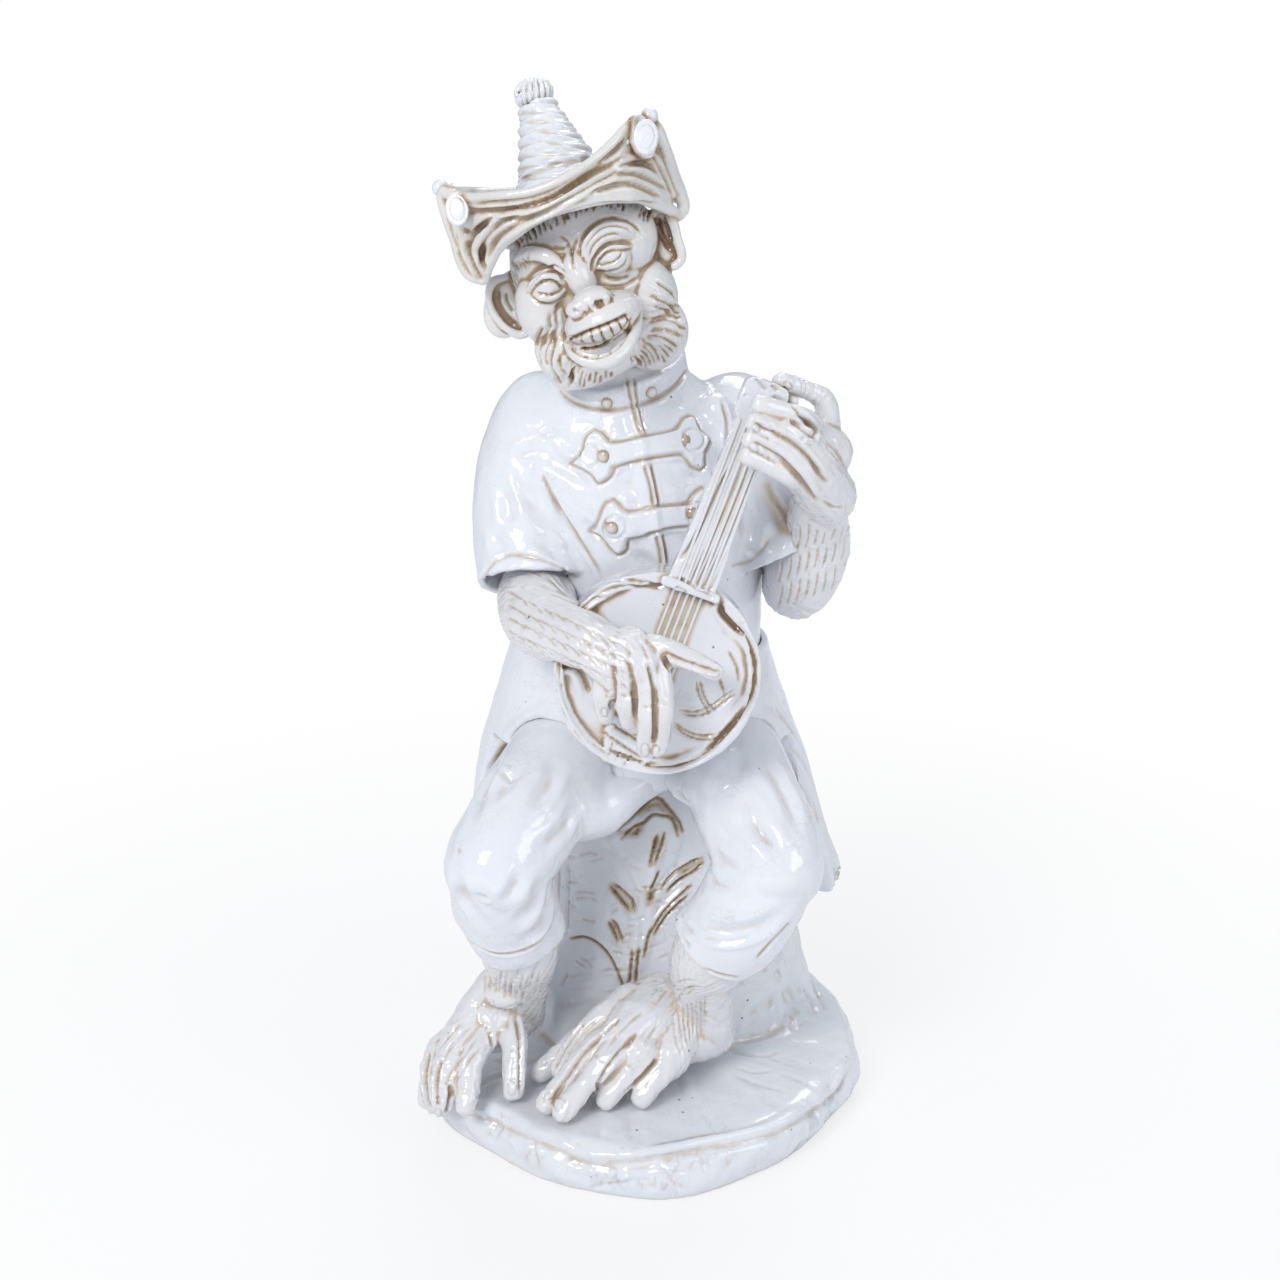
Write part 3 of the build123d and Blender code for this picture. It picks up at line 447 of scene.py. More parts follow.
class Clay:
    """A mesh under the sculptor's tools. All tool sizes are in millimetres."""

    def __init__(self, obj: bpy.types.Object) -> None:
        """Reads the mesh into arrays."""
        self.obj = obj
        mesh = obj.data
        self.count = len(mesh.vertices)
        flat = np.empty(self.count * 3)
        mesh.vertices.foreach_get("co", flat)
        self.co = flat.reshape(-1, 3)
        pairs = np.empty(len(mesh.edges) * 2, np.int64)
        mesh.edges.foreach_get("vertices", pairs)
        self.pairs = pairs.reshape(-1, 2)
        self.degree = np.maximum(np.bincount(self.pairs.ravel(), minlength=self.count), 1)
        self.normal = np.zeros_like(self.co)
        self.tree: BVHTree | None = None
        self.extra = np.zeros(self.count)
        # How strongly the hollows darken: pooled brown wash, partly painted shade.
        self.pool = 1.0
        self.commit()
        self.rest, self.rest_normal = self.co.copy(), self.normal.copy()

    def commit(self) -> None:
        """Writes the places back to the mesh and reads the new normals."""
        mesh = self.obj.data
        mesh.vertices.foreach_set("co", self.co.ravel())
        mesh.update()
        flat = np.empty(self.count * 3, np.float32)
        mesh.vertex_normals.foreach_get("vector", flat)
        self.normal = flat.reshape(-1, 3).astype(float)

    def around(self, values: np.ndarray) -> np.ndarray:
        """Returns the mean of each vertex's neighbours."""
        a, b = self.pairs.T
        columns = values.reshape(self.count, -1).T
        summed = [
            np.bincount(a, column[b], self.count) + np.bincount(b, column[a], self.count)
            for column in columns
        ]
        return (np.stack(summed, 1) / self.degree[:, None]).reshape(values.shape)

    def wipe(self, rounds: int) -> None:
        """Smooths the skin without shrinking it much."""
        for _ in range(rounds):
            for strength in (0.55, -0.53):
                self.co += strength * (self.around(self.co) - self.co)
        self.commit()

    def melt(self, rounds: int, mask: np.ndarray) -> None:
        """Fills and levels the skin where two lumps join.

        Args:
            rounds: How often.
            mask: How much of it each vertex gets.
        """
        for _ in range(rounds):
            self.co += 0.5 * mask[:, None] * (self.around(self.co) - self.co)
        self.commit()

    def settle(self) -> None:
        """Keeps the present surface as the one that drawn lines land on."""
        polygons = [tuple(p.vertices) for p in self.obj.data.polygons]
        self.tree = BVHTree.FromPolygons(self.co.tolist(), polygons)
        self.rest, self.rest_normal = self.co.copy(), self.normal.copy()

    def land(self, path: Path, step: float = 5.0, jump: float = 12.0) -> np.ndarray:
        """Returns where a drawn line falls on the surface.

        Args:
            path: The line in the drawing view.
            step: How close its points are.
            jump: The longest gap in millimetres that the line may leap.

        Returns:
            The longest unbroken run of places, in metres.
        """
        runs: list[list[Vector]] = [[]]
        for u, v in along(np.array(path, float), step):
            hit = self.tree.ray_cast(Vector(VIEW.place), VIEW.ray(u, v))[0]
            if hit is None or (runs[-1] and (hit - runs[-1][-1]).length > jump * MM):
                runs.append([])
            if hit is not None:
                runs[-1].append(hit)
        return np.array(max(runs, key=len))

    def land_round(self, path: list[tuple[float, float]]) -> np.ndarray:
        """Returns where a line round the figure falls on the surface.

        Args:
            path: Places as degrees from the front and millimetres of height.
        """
        hits = []
        for turn, height in path:
            angle = math.radians(turn)
            out = Vector((math.sin(angle), -math.cos(angle), 0))
            hit = self.tree.ray_cast(out * 0.3 + Vector((0, 0, height * MM)), -out)[0]
            if hit is not None:
                hits.append(hit)
        return np.array(hits)

    def groove(
        self, line: np.ndarray, width: float, depth: float, taper: float = 0.25, lip: float = 0.3
    ) -> None:
        """Draws a tool along a line on the surface.

        Args:
            line: Places in metres.
            width: The tool's half width.
            depth: How deep it goes. A negative depth raises a ridge.
            taper: The share of the line over which it fades at each end.
            lip: The clay pushed up beside it, as a share of the depth.
        """
        if len(line) < 2:
            return
        reach = width * MM * 3.2
        near = np.all((self.rest > line.min(0) - reach) & (self.rest < line.max(0) + reach), axis=1)
        spots = np.flatnonzero(near)
        if not len(spots):
            return
        gap, share = to_line(self.rest[spots], line)
        fade = np.ones(len(spots))
        if taper > 0:
            fade = ease(0, taper, share) * ease(0, taper, 1 - share)
            fade = 0.15 + 0.85 * fade
            fade *= (share > 0) & (share < 1)
        x = gap / (width * MM)
        shape = -np.exp(-(x**2)) + lip * np.exp(-(((x - 1.7) / 0.7) ** 2))
        self.co[spots] += self.rest_normal[spots] * (shape * fade * depth * MM)[:, None]

    def tint(self, paths: list[Path], width: float, amount: float) -> None:
        """Brushes extra wash along drawn lines; some of these lines are painted shade."""
        for path in paths:
            line = self.land(path)
            if len(line) < 2:
                continue
            gap, _ = to_line(self.rest, line)
            self.extra = np.maximum(self.extra, amount * np.exp(-((gap / (width * MM)) ** 2)))

    def nails(self, ovals: list[Path], height: float = 0.5) -> None:
        """Sets nails inside drawn ovals."""
        for path in ovals:
            self.raise_panel(path[:-1], height, 3.0, 20.0)
        self.draw(ovals, 0.5, 0.8, 0.0, 0.0)

    def draw(
        self, paths: list[Path], width: float, depth: float, taper: float = 0.25, lip: float = 0.3
    ) -> None:
        """Draws a tool along lines given in the drawing view."""
        for path in paths:
            self.groove(self.land(path), width, depth, taper, lip)
        self.commit()

    def raise_panel(self, outline: Path, height: float, edge: float, reach: float = 60.0) -> None:
        """Raises the clay inside a drawn outline.

        Args:
            outline: The outline in the drawing view.
            height: How high it stands.
            edge: How wide its sloping edge is, in drawing units.
            reach: How far from the outline's middle it may go.
        """
        drawn = np.array(outline, float)
        drawn = along(np.vstack([drawn, drawn[:1]]), 4.0)[:-1]
        hits = self.land([tuple(p) for p in drawn], 1e9)
        if not len(hits):
            return
        middle = hits.mean(0)
        spots = np.flatnonzero(np.linalg.norm(self.rest - middle, axis=1) < reach * MM)
        uv, _ = VIEW.drawn(self.rest[spots])
        box = np.all((uv > drawn.min(0) - 3) & (uv < drawn.max(0) + 3), axis=1)
        toward = self.rest_normal[spots] @ np.array(VIEW.ray(*drawn.mean(0)))
        spots = spots[box & (toward < 0.1)]
        if not len(spots):
            return
        uv, _ = VIEW.drawn(self.rest[spots])
        lift = ease(0, edge, inside(uv, drawn) + edge * 0.3)
        self.co[spots] += self.rest_normal[spots] * (lift * height * MM)[:, None]

    def comb(
        self, axis: np.ndarray, depth: float, across: float, length: float, mask: np.ndarray
    ) -> None:
        """Combs fur along a line through the piece.

        Args:
            axis: The line that the hairs follow, in metres.
            depth: How deep the comb goes.
            across: The width of a lock.
            length: The length of a lock.
            mask: How much of it each vertex gets.
        """
        line = along(axis, 3 * MM)
        gap, share = to_line(self.co, line)
        total = np.linalg.norm(np.diff(line, axis=0), axis=1).sum()
        spot = np.stack([np.interp(share, np.linspace(0, 1, len(line)), line[:, i]) for i in range(3)], 1)
        away = self.co - spot
        away /= np.linalg.norm(away, axis=1)[:, None] + 1e-9
        radius = np.median(gap)
        wave = noise(
            np.stack([share * total / (length * MM * 1.6), away[:, 0] * 2, away[:, 2] * 2], 1)
        )
        place = away * (radius / (across * MM))
        run = share * total / (length * MM)
        locks = noise(
            np.stack([place[:, 0] + place[:, 1] * 0.7 + wave * 1.2, place[:, 2] + wave * 1.2, run], 1)
        )
        fine = noise(
            np.stack([(place[:, 0] + place[:, 1] * 0.7) * 2.1, place[:, 2] * 2.1 + wave, run * 1.4], 1)
        )
        shape = -np.abs(locks) ** 0.7 + 0.55 - 0.45 * np.abs(fine)
        self.co += self.normal * (shape * mask * depth * MM)[:, None]
        self.commit()

    def dent(self, size: float, depth: float, mask: np.ndarray | None = None, seed: float = 0.0) -> None:
        """Leaves the soft unevenness of hand work."""
        shape = layered(self.co / (size * MM) + seed, 3)
        if mask is not None:
            shape = shape * mask
        self.co += self.normal * (shape * depth * MM)[:, None]
        self.commit()

    def near(self, centre: np.ndarray, radius: float, soft: float = 0.5) -> np.ndarray:
        """Returns 1 near a place and 0 beyond a radius."""
        gap = np.linalg.norm(self.co - centre, axis=1) / (radius * MM)
        return 1 - ease(1 - soft, 1, gap)

    def hollows(self, voxel: float, deep: float, fine: float = 2.5, wide: float = 5.3) -> np.ndarray:
        """Measures how deep each vertex lies in the tool marks and folds round it, as the mask of pooled
        wash and painted shade.

        Args:
            voxel: The mesh size in millimetres.
            deep: How much the wide folds count beside the fine marks; their darkening is partly painted
                shade.
            fine: The reach of the wiping that closes the fine marks.
            wide: The reach of the wiping that closes the folds.
        """
        result = np.zeros(self.count)
        smooth = self.co.copy()
        done = 0
        for reach, scale, share in ((fine, 0.22, 1.0), (wide, 0.9, deep)):
            rounds = max(3, round((reach / voxel) ** 2))
            for _ in range(rounds - done):
                smooth += 0.9 * (self.around(smooth) - smooth)
            done = rounds
            depth = np.einsum("ij,ij->i", smooth - self.co, self.normal)
            result = np.maximum(result, share * np.clip(depth / (scale * MM), 0, 1))
        return 0.5 * result + 0.5 * self.around(result)

    def keep(self, name: str, values: np.ndarray) -> None:
        """Keeps one number per vertex on the mesh."""
        layer = self.obj.data.attributes.get(name) or self.obj.data.attributes.new(name, "FLOAT", "POINT")
        layer.data.foreach_set("value", values.astype(np.float32))


# Glazes


class Wash(Enum):
    """How much brown wash is left on the high ground."""

    CLEAN = 0.0
    FAINT = 0.07
    LIGHT = 0.15


@dataclass(frozen=True)
class Glaze:
    """A crazed white glaze over a brown wash that pools in hollows, where the darkening is partly painted
    shade.
    """

    name: str
    white: tuple[float, float, float] = (0.82, 0.825, 0.84)
    tan: tuple[float, float, float] = (0.56, 0.44, 0.30)
    brown: tuple[float, float, float] = (0.17, 0.095, 0.045)
    wash: Wash = Wash.CLEAN
    roughness: float = 0.09

    def masks(self) -> bpy.types.NodeTree:
        """Returns the shared group that turns a mesh's hollows into pooled wash and painted shade, crazing
        and pits.
        """
        made = bpy.data.node_groups.get("glaze_masks")
        if made:
            return made
        group = bpy.data.node_groups.new("glaze_masks", "ShaderNodeTree")
        for socket in ("Hollow", "Stain"):
            group.interface.new_socket(socket, in_out="INPUT", socket_type="NodeSocketFloat")
        for socket in ("Tan", "Brown", "Craze", "Pits", "Cloud"):
            group.interface.new_socket(socket, in_out="OUTPUT", socket_type="NodeSocketFloat")
        nodes, links = group.nodes, group.links
        inputs, outputs = nodes.new("NodeGroupInput"), nodes.new("NodeGroupOutput")
        place = nodes.new("ShaderNodeTexCoord").outputs["Object"]

        def math_node(kind: str, a, b=None, clamp: bool = False):
            """Adds a sum and returns its output."""
            node = nodes.new("ShaderNodeMath")
            node.operation = kind
            node.use_clamp = clamp
            for socket, value in zip(node.inputs, (a, b)):
                if isinstance(value, (int, float)):
                    socket.default_value = value
                elif value is not None:
                    links.new(value, socket)
            return node.outputs[0]

        def noise_node(scale: float, detail: float):
            """Adds a noise texture and returns its output."""
            node = nodes.new("ShaderNodeTexNoise")
            node.inputs["Scale"].default_value = scale
            node.inputs["Detail"].default_value = detail
            links.new(place, node.inputs["Vector"])
            return node.outputs["Fac"]

        def step_node(value, low: float, high: float):
            """Adds a soft step from 0 to 1 and returns its output."""
            node = nodes.new("ShaderNodeMapRange")
            node.interpolation_type = "SMOOTHSTEP"
            node.inputs["From Min"].default_value = low
            node.inputs["From Max"].default_value = high
            links.new(value, node.inputs["Value"])
            return node.outputs["Result"]

        blotch = noise_node(90, 4)
        cloud = noise_node(22, 3)
        # Tan and brown in the hollows: pooled wash, partly painted shade.
        hollow = math_node(
            "ADD", inputs.outputs["Hollow"],
            math_node("MULTIPLY", math_node("SUBTRACT", blotch, 0.5), 0.35)
        )
        stain = math_node("MULTIPLY", inputs.outputs["Stain"], math_node("ADD", cloud, 0.4))
        tan = math_node("ADD", math_node("MULTIPLY", step_node(hollow, 0.12, 0.62), 0.85), stain, True)
        brown = math_node("MULTIPLY", step_node(hollow, 0.42, 1.0), 0.9)
        cells = nodes.new("ShaderNodeTexVoronoi")
        cells.feature = "DISTANCE_TO_EDGE"
        cells.inputs["Scale"].default_value = 210
        links.new(place, cells.inputs["Vector"])
        craze = math_node("SUBTRACT", 1.0, step_node(cells.outputs["Distance"], 0.0, 0.035))
        craze = math_node("MULTIPLY", craze, step_node(noise_node(60, 2), 0.48, 0.6))
        dots = nodes.new("ShaderNodeTexVoronoi")
        dots.inputs["Scale"].default_value = 95
        links.new(place, dots.inputs["Vector"])
        pits = math_node("SUBTRACT", 1.0, step_node(dots.outputs["Distance"], 0.035, 0.075))
        pits = math_node("MULTIPLY", pits, step_node(noise_node(35, 1), 0.56, 0.62))
        for name, value in (
            ("Tan", tan), ("Brown", brown), ("Craze", craze), ("Pits", pits), ("Cloud", cloud)
        ):
            links.new(value, outputs.inputs[name])
        return group

    def material(self) -> bpy.types.Material:
        """Returns the finish as a material."""
        made = bpy.data.materials.get(self.name)
        if made:
            return made
        material = bpy.data.materials.new(self.name)
        material.use_nodes = True
        nodes, links = material.node_tree.nodes, material.node_tree.links
        shader = nodes["Principled BSDF"]
        hollow = nodes.new("ShaderNodeAttribute")
        hollow.attribute_name = "hollow"
        masks = nodes.new("ShaderNodeGroup")
        masks.node_tree = self.masks()
        masks.inputs["Stain"].default_value = self.wash.value
        links.new(hollow.outputs["Fac"], masks.inputs["Hollow"])

        def mix(share, a, b):
            """Adds a blend of two colours and returns its output."""
            node = nodes.new("ShaderNodeMix")
            node.data_type = "RGBA"
            for socket, value in ((node.inputs["A"], a), (node.inputs["B"], b)):
                if isinstance(value, tuple):
                    socket.default_value = (*value, 1)
                else:
                    links.new(value, socket)
            links.new(share, node.inputs["Factor"])
            return node.outputs["Result"]

        cool = (self.white[0] * 0.93, self.white[1] * 0.96, self.white[2] * 1.03)
        colour = mix(masks.outputs["Cloud"], self.white, cool)
        colour = mix(masks.outputs["Tan"], colour, self.tan)
        colour = mix(masks.outputs["Brown"], colour, self.brown)
        faint = nodes.new("ShaderNodeMath")
        faint.operation = "MULTIPLY"
        faint.inputs[1].default_value = 0.22
        links.new(masks.outputs["Craze"], faint.inputs[0])
        colour = mix(faint.outputs[0], colour, (0.36, 0.31, 0.27))
        colour = mix(masks.outputs["Pits"], colour, (0.10, 0.07, 0.05))
        links.new(colour, shader.inputs["Base Color"])
        shader.inputs["Roughness"].default_value = self.roughness
        shader.inputs["IOR"].default_value = 1.52
        shader.inputs["Coat Weight"].default_value = 0.6
        shader.inputs["Coat Roughness"].default_value = 0.04
        skin = nodes.new("ShaderNodeTexNoise")
        skin.inputs["Scale"].default_value = 140
        skin.inputs["Detail"].default_value = 3
        place = nodes.new("ShaderNodeTexCoord")
        links.new(place.outputs["Object"], skin.inputs["Vector"])
        bump = nodes.new("ShaderNodeBump")
        bump.inputs["Strength"].default_value = 0.22
        bump.inputs["Distance"].default_value = 0.0012
        links.new(skin.outputs["Fac"], bump.inputs["Height"])
        pit_bump = nodes.new("ShaderNodeBump")
        pit_bump.invert = True
        pit_bump.inputs["Strength"].default_value = 0.5
        pit_bump.inputs["Distance"].default_value = 0.0005
        links.new(masks.outputs["Pits"], pit_bump.inputs["Height"])
        links.new(bump.outputs["Normal"], pit_bump.inputs["Normal"])
        links.new(pit_bump.outputs["Normal"], shader.inputs["Normal"])
        links.new(pit_bump.outputs["Normal"], shader.inputs["Coat Normal"])
        return material


CLOTH_GLAZE = Glaze("cloth_glaze")
ROCK_GLAZE = Glaze("rock_glaze", white=(0.83, 0.845, 0.86), wash=Wash.FAINT)
FUR_GLAZE = Glaze("fur_glaze", white=(0.80, 0.79, 0.79), wash=Wash.FAINT)
FACE_GLAZE = Glaze("face_glaze", white=(0.80, 0.79, 0.78), wash=Wash.LIGHT, roughness=0.12)
HAT_GLAZE = Glaze("brim_glaze", white=(0.80, 0.785, 0.755), wash=Wash.LIGHT, roughness=0.11)
LUTE_GLAZE = Glaze("drum_glaze", white=(0.78, 0.775, 0.78))


# Castings


@dataclass
class Casting:
    """One piece of the figure: what it stands for and how it is finished."""

    name: str
    nodes: list[str]
    slot: str
    glaze: Glaze
    voxel: float = 1.0
    rounds: int = 6
    # How strongly the hollows darken: brown wash pooled in the marks, partly painted shade in the folds.
    pool: float = 1.0
    deep: float = 1.0
    fine: tuple[float, float, float, float] | None = None
    coils: list[tuple[list[tuple[float, float, float]], list[float]]] = field(default_factory=list)
    made: list[Clay] = field(default_factory=list)

    def lumps(self) -> list[bpy.types.Object]:
        """Returns the clay that the piece starts from."""
        return [node_copy(node) for node in self.nodes] + self.rolled()

    def rolled(self) -> list[bpy.types.Object]:
        """Returns the piece's own coils of clay."""
        return [roll([VIEW.spot(*p) for p in points], radii) for points, radii in self.coils]

    def tool(self, clay: Clay) -> None:
        """Works the clay. Each casting has its own way."""

    def build(self) -> list[Clay]:
        """Makes, tools and glazes the piece.

        Returns:
            The clay of each object made.
        """
        clay = fuse(self.name, self.lumps(), self.voxel, self.rounds, self.fine)
        clay.pool = self.pool
        clay.settle()
        self.tool(clay)
        self.dress(clay, self.nodes)
        return self.made

    def dress(self, clay: Clay, nodes: list[str]) -> None:
        """Glazes a finished piece and ties it to the frame."""
        obj = clay.obj
        clay.commit()
        # Darkens the hollows with pooled brown wash and painted shade, then adds the brushed tints.
        clay.keep("hollow", np.clip(self.pool * clay.hollows(self.voxel, self.deep) + clay.extra, 0, 1))
        obj.data.materials.clear()
        obj.data.materials.append(self.glaze.material())
        select_only([obj])
        bpy.ops.object.shade_smooth()
        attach(obj, "root")
        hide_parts(*nodes)
        self.made.append(clay)
        log.info("%s: %d vertices", obj.name, clay.count)


@dataclass
class Base(Casting):
    """The rough round plinth with the leafy rock."""

    lobe: float = 0.012
    small_lobe: float = 0.008
    cut_share: float = 0.13
    trim_share: float = 0.014
    bursts: int = 96
    scratches: int = 56

    def lumps(self) -> list[bpy.types.Object]:
        """Returns the plinth and the rock. The leaves are carved into them."""
        return [node_copy("plinth"), node_copy("rock_mound"), *self.rolled()]

    def tool(self, clay: Clay) -> None:
        """Roughs out the rock, then carves the rim and the leaves."""
        self.rough(clay)
        self.scrapes(clay)
        self.rim(clay)
        self.leaves(clay)
        self.rocks(clay)

    def rough(self, clay: Clay) -> None:
        """Leaves the uneven planes of torn clay, deeper on the plinth's side."""
        height, forward = clay.co[:, 2], -clay.co[:, 1]
        join = ease(0.0255, 0.028, height) * (1 - ease(0.055, 0.075, height))
        join *= 1 - ease(0.05, 0.06, forward)
        clay.melt(45, join)
        clay.melt(110, ease(0.1, 0.4, clay.normal[:, 1]) * ease(0.06, 0.08, height))
        flat = clay.co * (1, 1, 0)
        under = ease(0.132, 0.148, height) * ease(0.0, 0.03, clay.co[:, 1])
        clay.co -= flat / np.maximum(np.linalg.norm(flat, axis=1), MM)[:, None] * (under * 3.5 * MM)[:, None]
        clay.commit()
        turn = np.degrees(np.arctan2(clay.co[:, 0], -clay.co[:, 1]))
        low = 1 - ease(0.045, 0.06, clay.co[:, 2])
        cut = ease(62, 85, -turn) * (1 - ease(130, 165, -turn))
        angle = np.radians(turn)
        lobes = self.lobe * np.sin(angle * 5 + 1.0) + self.small_lobe * np.sin(angle * 11)
        clay.co[:, :2] *= (1 - low * (self.cut_share * cut + self.trim_share - lobes))[:, None]
        clay.commit()
        flat = ease(0.6, 0.9, clay.normal[:, 2])
        side = (1 - flat) * (1 - ease(0.040, 0.055, clay.co[:, 2])) * ease(0.0, 0.008, clay.co[:, 2])
        clay.dent(38, 2.0, side, 1.4)
        clay.dent(22, 1.5, side, 3.1)
        clay.dent(9, 0.55, side, 5.7)
        clay.dent(30, 0.7, (1 - side) * ease(0.0, 0.01, clay.co[:, 2]), 8.3)
        clay.dent(8, 0.22, 1 - side, 2.2)
        clay.co[:, 2] = np.maximum(clay.co[:, 2], 0)
        clay.settle()

    def scrapes(self, clay: Clay) -> None:
        """Drags a toothed tool round the plinth's side in short bursts."""
        draws = np.random.default_rng(11)
        for _ in range(self.bursts):
            turn, height = draws.uniform(-180, 180), draws.uniform(9, 40)
            slant, length, teeth = draws.uniform(-0.9, 0.9), draws.uniform(5, 13), int(draws.integers(2, 6))
            depth = draws.uniform(0.6, 1.7)
            for tooth in range(teeth):
                start = turn + tooth * 1.15
                path = [
                    (start + slant * length * 0.45 * t, height + length * (t - 0.5))
                    for t in (0, 0.33, 0.67, 1)
                ]
                clay.groove(clay.land_round([(a, min(max(h, 4), 46)) for a, h in path]), 0.95, depth, 0.3)
        clay.commit()

    def rim(self, clay: Clay) -> None:
        """Cuts the step under the plinth's top and the marks beside it."""
        lip = [
            (453, 1102), (482, 1110), (506, 1120), (527, 1129), (547, 1137), (567, 1145), (584, 1153),
            (614, 1155),
            (645, 1153), (671, 1147), (700, 1141), (738, 1134), (780, 1123), (808, 1106), (837, 1083),
            (851, 1047)
        ]
        clay.draw([lip], 2.2, -1.5, 0.1, 0.0)
        clay.draw([[(u, v + 9) for u, v in lip]], 2.2, 1.6, 0.1)
        ledge = [(543, 1153), (584, 1165), (624, 1171), (655, 1167), (684, 1160)]
        clay.draw([ledge], 1.6, 1.3)
        corners = [[(531, 1137), (535, 1155), (539, 1175)], [(657, 1163), (670, 1177), (684, 1192)]]
        clay.draw(corners, 1.2, 1.4)
        foot = [(575, 1198), (584, 1190), (604, 1186), (620, 1184), (635, 1180), (641, 1186)]
        clay.draw([foot], 1.0, 1.2)
        teeth = [[(469 + 5.6 * i, 1157 + 2.2 * i), (475 + 5.6 * i, 1163 + 2.2 * i)] for i in range(11)]
        combs = [[(588 + 3.2 * i, 1180 - i), (590 + 3.2 * i, 1191 - i)] for i in range(6)]
        hatch = [[(643 + 5 * i, 1184 - 0.6 * i), (640 + 5 * i, 1193 - 0.6 * i)] for i in range(9)]
        clay.draw(teeth + combs + hatch, 0.7, 0.9, 0.2)
        streaks = [
            [(859, 1083), (857, 1105), (849, 1131)], [(852, 1088), (848, 1108), (842, 1128)],
            [(842, 1108), (830, 1122), (816, 1136)], [(834, 1117), (818, 1132), (806, 1146)],
            [(856, 1096), (852, 1118), (846, 1136)], [(838, 1112), (824, 1128), (812, 1140)],
        ]
        clay.draw(streaks, 0.8, 1.3, 0.2)
        clay.tint(streaks, 3.0, 0.4)
        lump = [(520, 1184), (526, 1188), (533, 1188)]
        clay.draw([lump], 2.2, -1.6, 0.3, 0.0)

    def leaves(self, clay: Clay) -> None:
        """Models the leaf spray in relief on the rock."""
        stems = [
            [(630, 983), (632, 955), (637, 934), (641, 913), (648, 892), (653, 871), (658, 850), (662, 832)],
            [(622, 985), (617, 962), (610, 949), (599, 938), (586, 932), (574, 934), (564, 936)],
            [(626, 984), (626, 960), (622, 940), (614, 925)],
            [(633, 980), (636, 950), (634, 920), (622, 893), (612, 888)],
            [(638, 980), (646, 945), (656, 920), (672, 902), (691, 885)],
            [(641, 955), (649, 915), (661, 890), (676, 873), (700, 860)],
        ]
        clay.draw(stems, 2.6, -1.9, 0.15, 0.0)
        spray = [
            (642, 908), (631, 880), (618, 858), (604, 842), (618, 829), (638, 811), (656, 797),
            (667, 805), (680, 823),
            (683, 842), (676, 862), (662, 880)
        ]
        clay.raise_panel(spray, 1.5, 8.0, 70.0)
        edges = [
            [(618, 829), (638, 811), (656, 797), (667, 806), (680, 823), (682, 831)],
            [(622, 838), (634, 826), (644, 822), (652, 814), (662, 815), (673, 819), (677, 835)],
            [(620, 978), (614, 962), (606, 950), (596, 941), (584, 936), (572, 938)],
            [(619, 972), (623, 986)], [(628, 984), (630, 979), (633, 948)],
            [(636, 982), (637, 965), (639, 947)], [(609, 922), (613, 931), (618, 940)],
            [(612, 920), (618, 928), (624, 941)],
            [(651, 931), (658, 919), (666, 908), (679, 895), (691, 885)],
            [(654, 933), (663, 920), (672, 909), (686, 896)], [(644, 955), (648, 937), (652, 926)],
            [(650, 888), (655, 878), (658, 870)],
            [(661, 888), (668, 878), (675, 871), (689, 863), (701, 858)],
            [(667, 890), (680, 879), (691, 873), (697, 869), (703, 862)],
            [(610, 886), (618, 897), (630, 910)], [(614, 884), (625, 892), (632, 899), (635, 909)],
            [(664, 832), (660, 848), (654, 862)], [(657, 834), (653, 850), (650, 864)],
        ]
        clay.draw(edges, 0.8, 1.5, 0.15)
        clay.tint(edges, 1.3, 0.55)
        pods = [
            [(613, 888), (622, 898), (631, 908)], [(649, 890), (650, 900)], [(613, 925), (619, 936)],
            [(680, 871), (692, 865), (700, 861)], [(622, 832), (636, 832), (640, 826)],
            [(640, 812), (656, 803), (670, 814), (677, 828)], [(657, 838), (656, 852)],
        ]
        clay.draw(pods, 1.9, 1.5, 0.2, 0.1)
        clay.tint(pods, 3.4, 0.52)

    def rocks(self, clay: Clay) -> None:
        """Scores the rock and sets small lumps beside the left trouser leg."""
        scores = [
            [(560, 862), (558, 895), (559, 930), (556, 941)], [(569, 860), (568, 900), (568, 935)],
            [(577, 856), (590, 853), (600, 856)], [(575, 893), (586, 892), (597, 895)],
            [(573, 899), (588, 898), (598, 902)], [(580, 918), (590, 922), (597, 921)],
            [(574, 962), (580, 965), (586, 969)], [(578, 958), (588, 964), (592, 970)],
            [(568, 972), (564, 980), (560, 990)], [(730, 1050), (745, 1054), (766, 1056), (780, 1050)],
            [(735, 1075), (755, 1083), (786, 1092)], [(732, 1066), (755, 1072), (775, 1070)],
            [(789, 1013), (793, 1020), (790, 1027), (798, 1031)], [(800, 985), (810, 1000), (816, 1014)],
            [(806, 975), (818, 995), (826, 1012)],
        ]
        clay.draw(scores, 1.0, 1.0, 0.2)
        draws = np.random.default_rng(5)
        for _ in range(self.scratches):
            u, v = draws.uniform(562, 700), draws.uniform(850, 1000)
            slant, reach = draws.uniform(-0.6, 0.6), draws.uniform(5, 14)
            scratch = [(u - reach, v - reach * slant), (u + reach, v + reach * slant)]
            clay.groove(clay.land(scratch), 0.9, draws.uniform(0.3, 0.9), 0.4)
        clay.commit()
        lumps = [
            [(740, 979), (747, 977)], [(756, 967), (763, 961), (769, 965)], [(775, 953), (781, 956)],
            [(776, 974), (780, 979)]
        ]
        clay.draw(lumps, 2.0, -2.6, 0.3, 0.0)
        pebbles = [[(606, 1003), (611, 1006)], [(563, 1002), (567, 1005)], [(571, 1004), (574, 1001)]]
        clay.draw(pebbles, 1.1, -1.2, 0.3, 0.0)


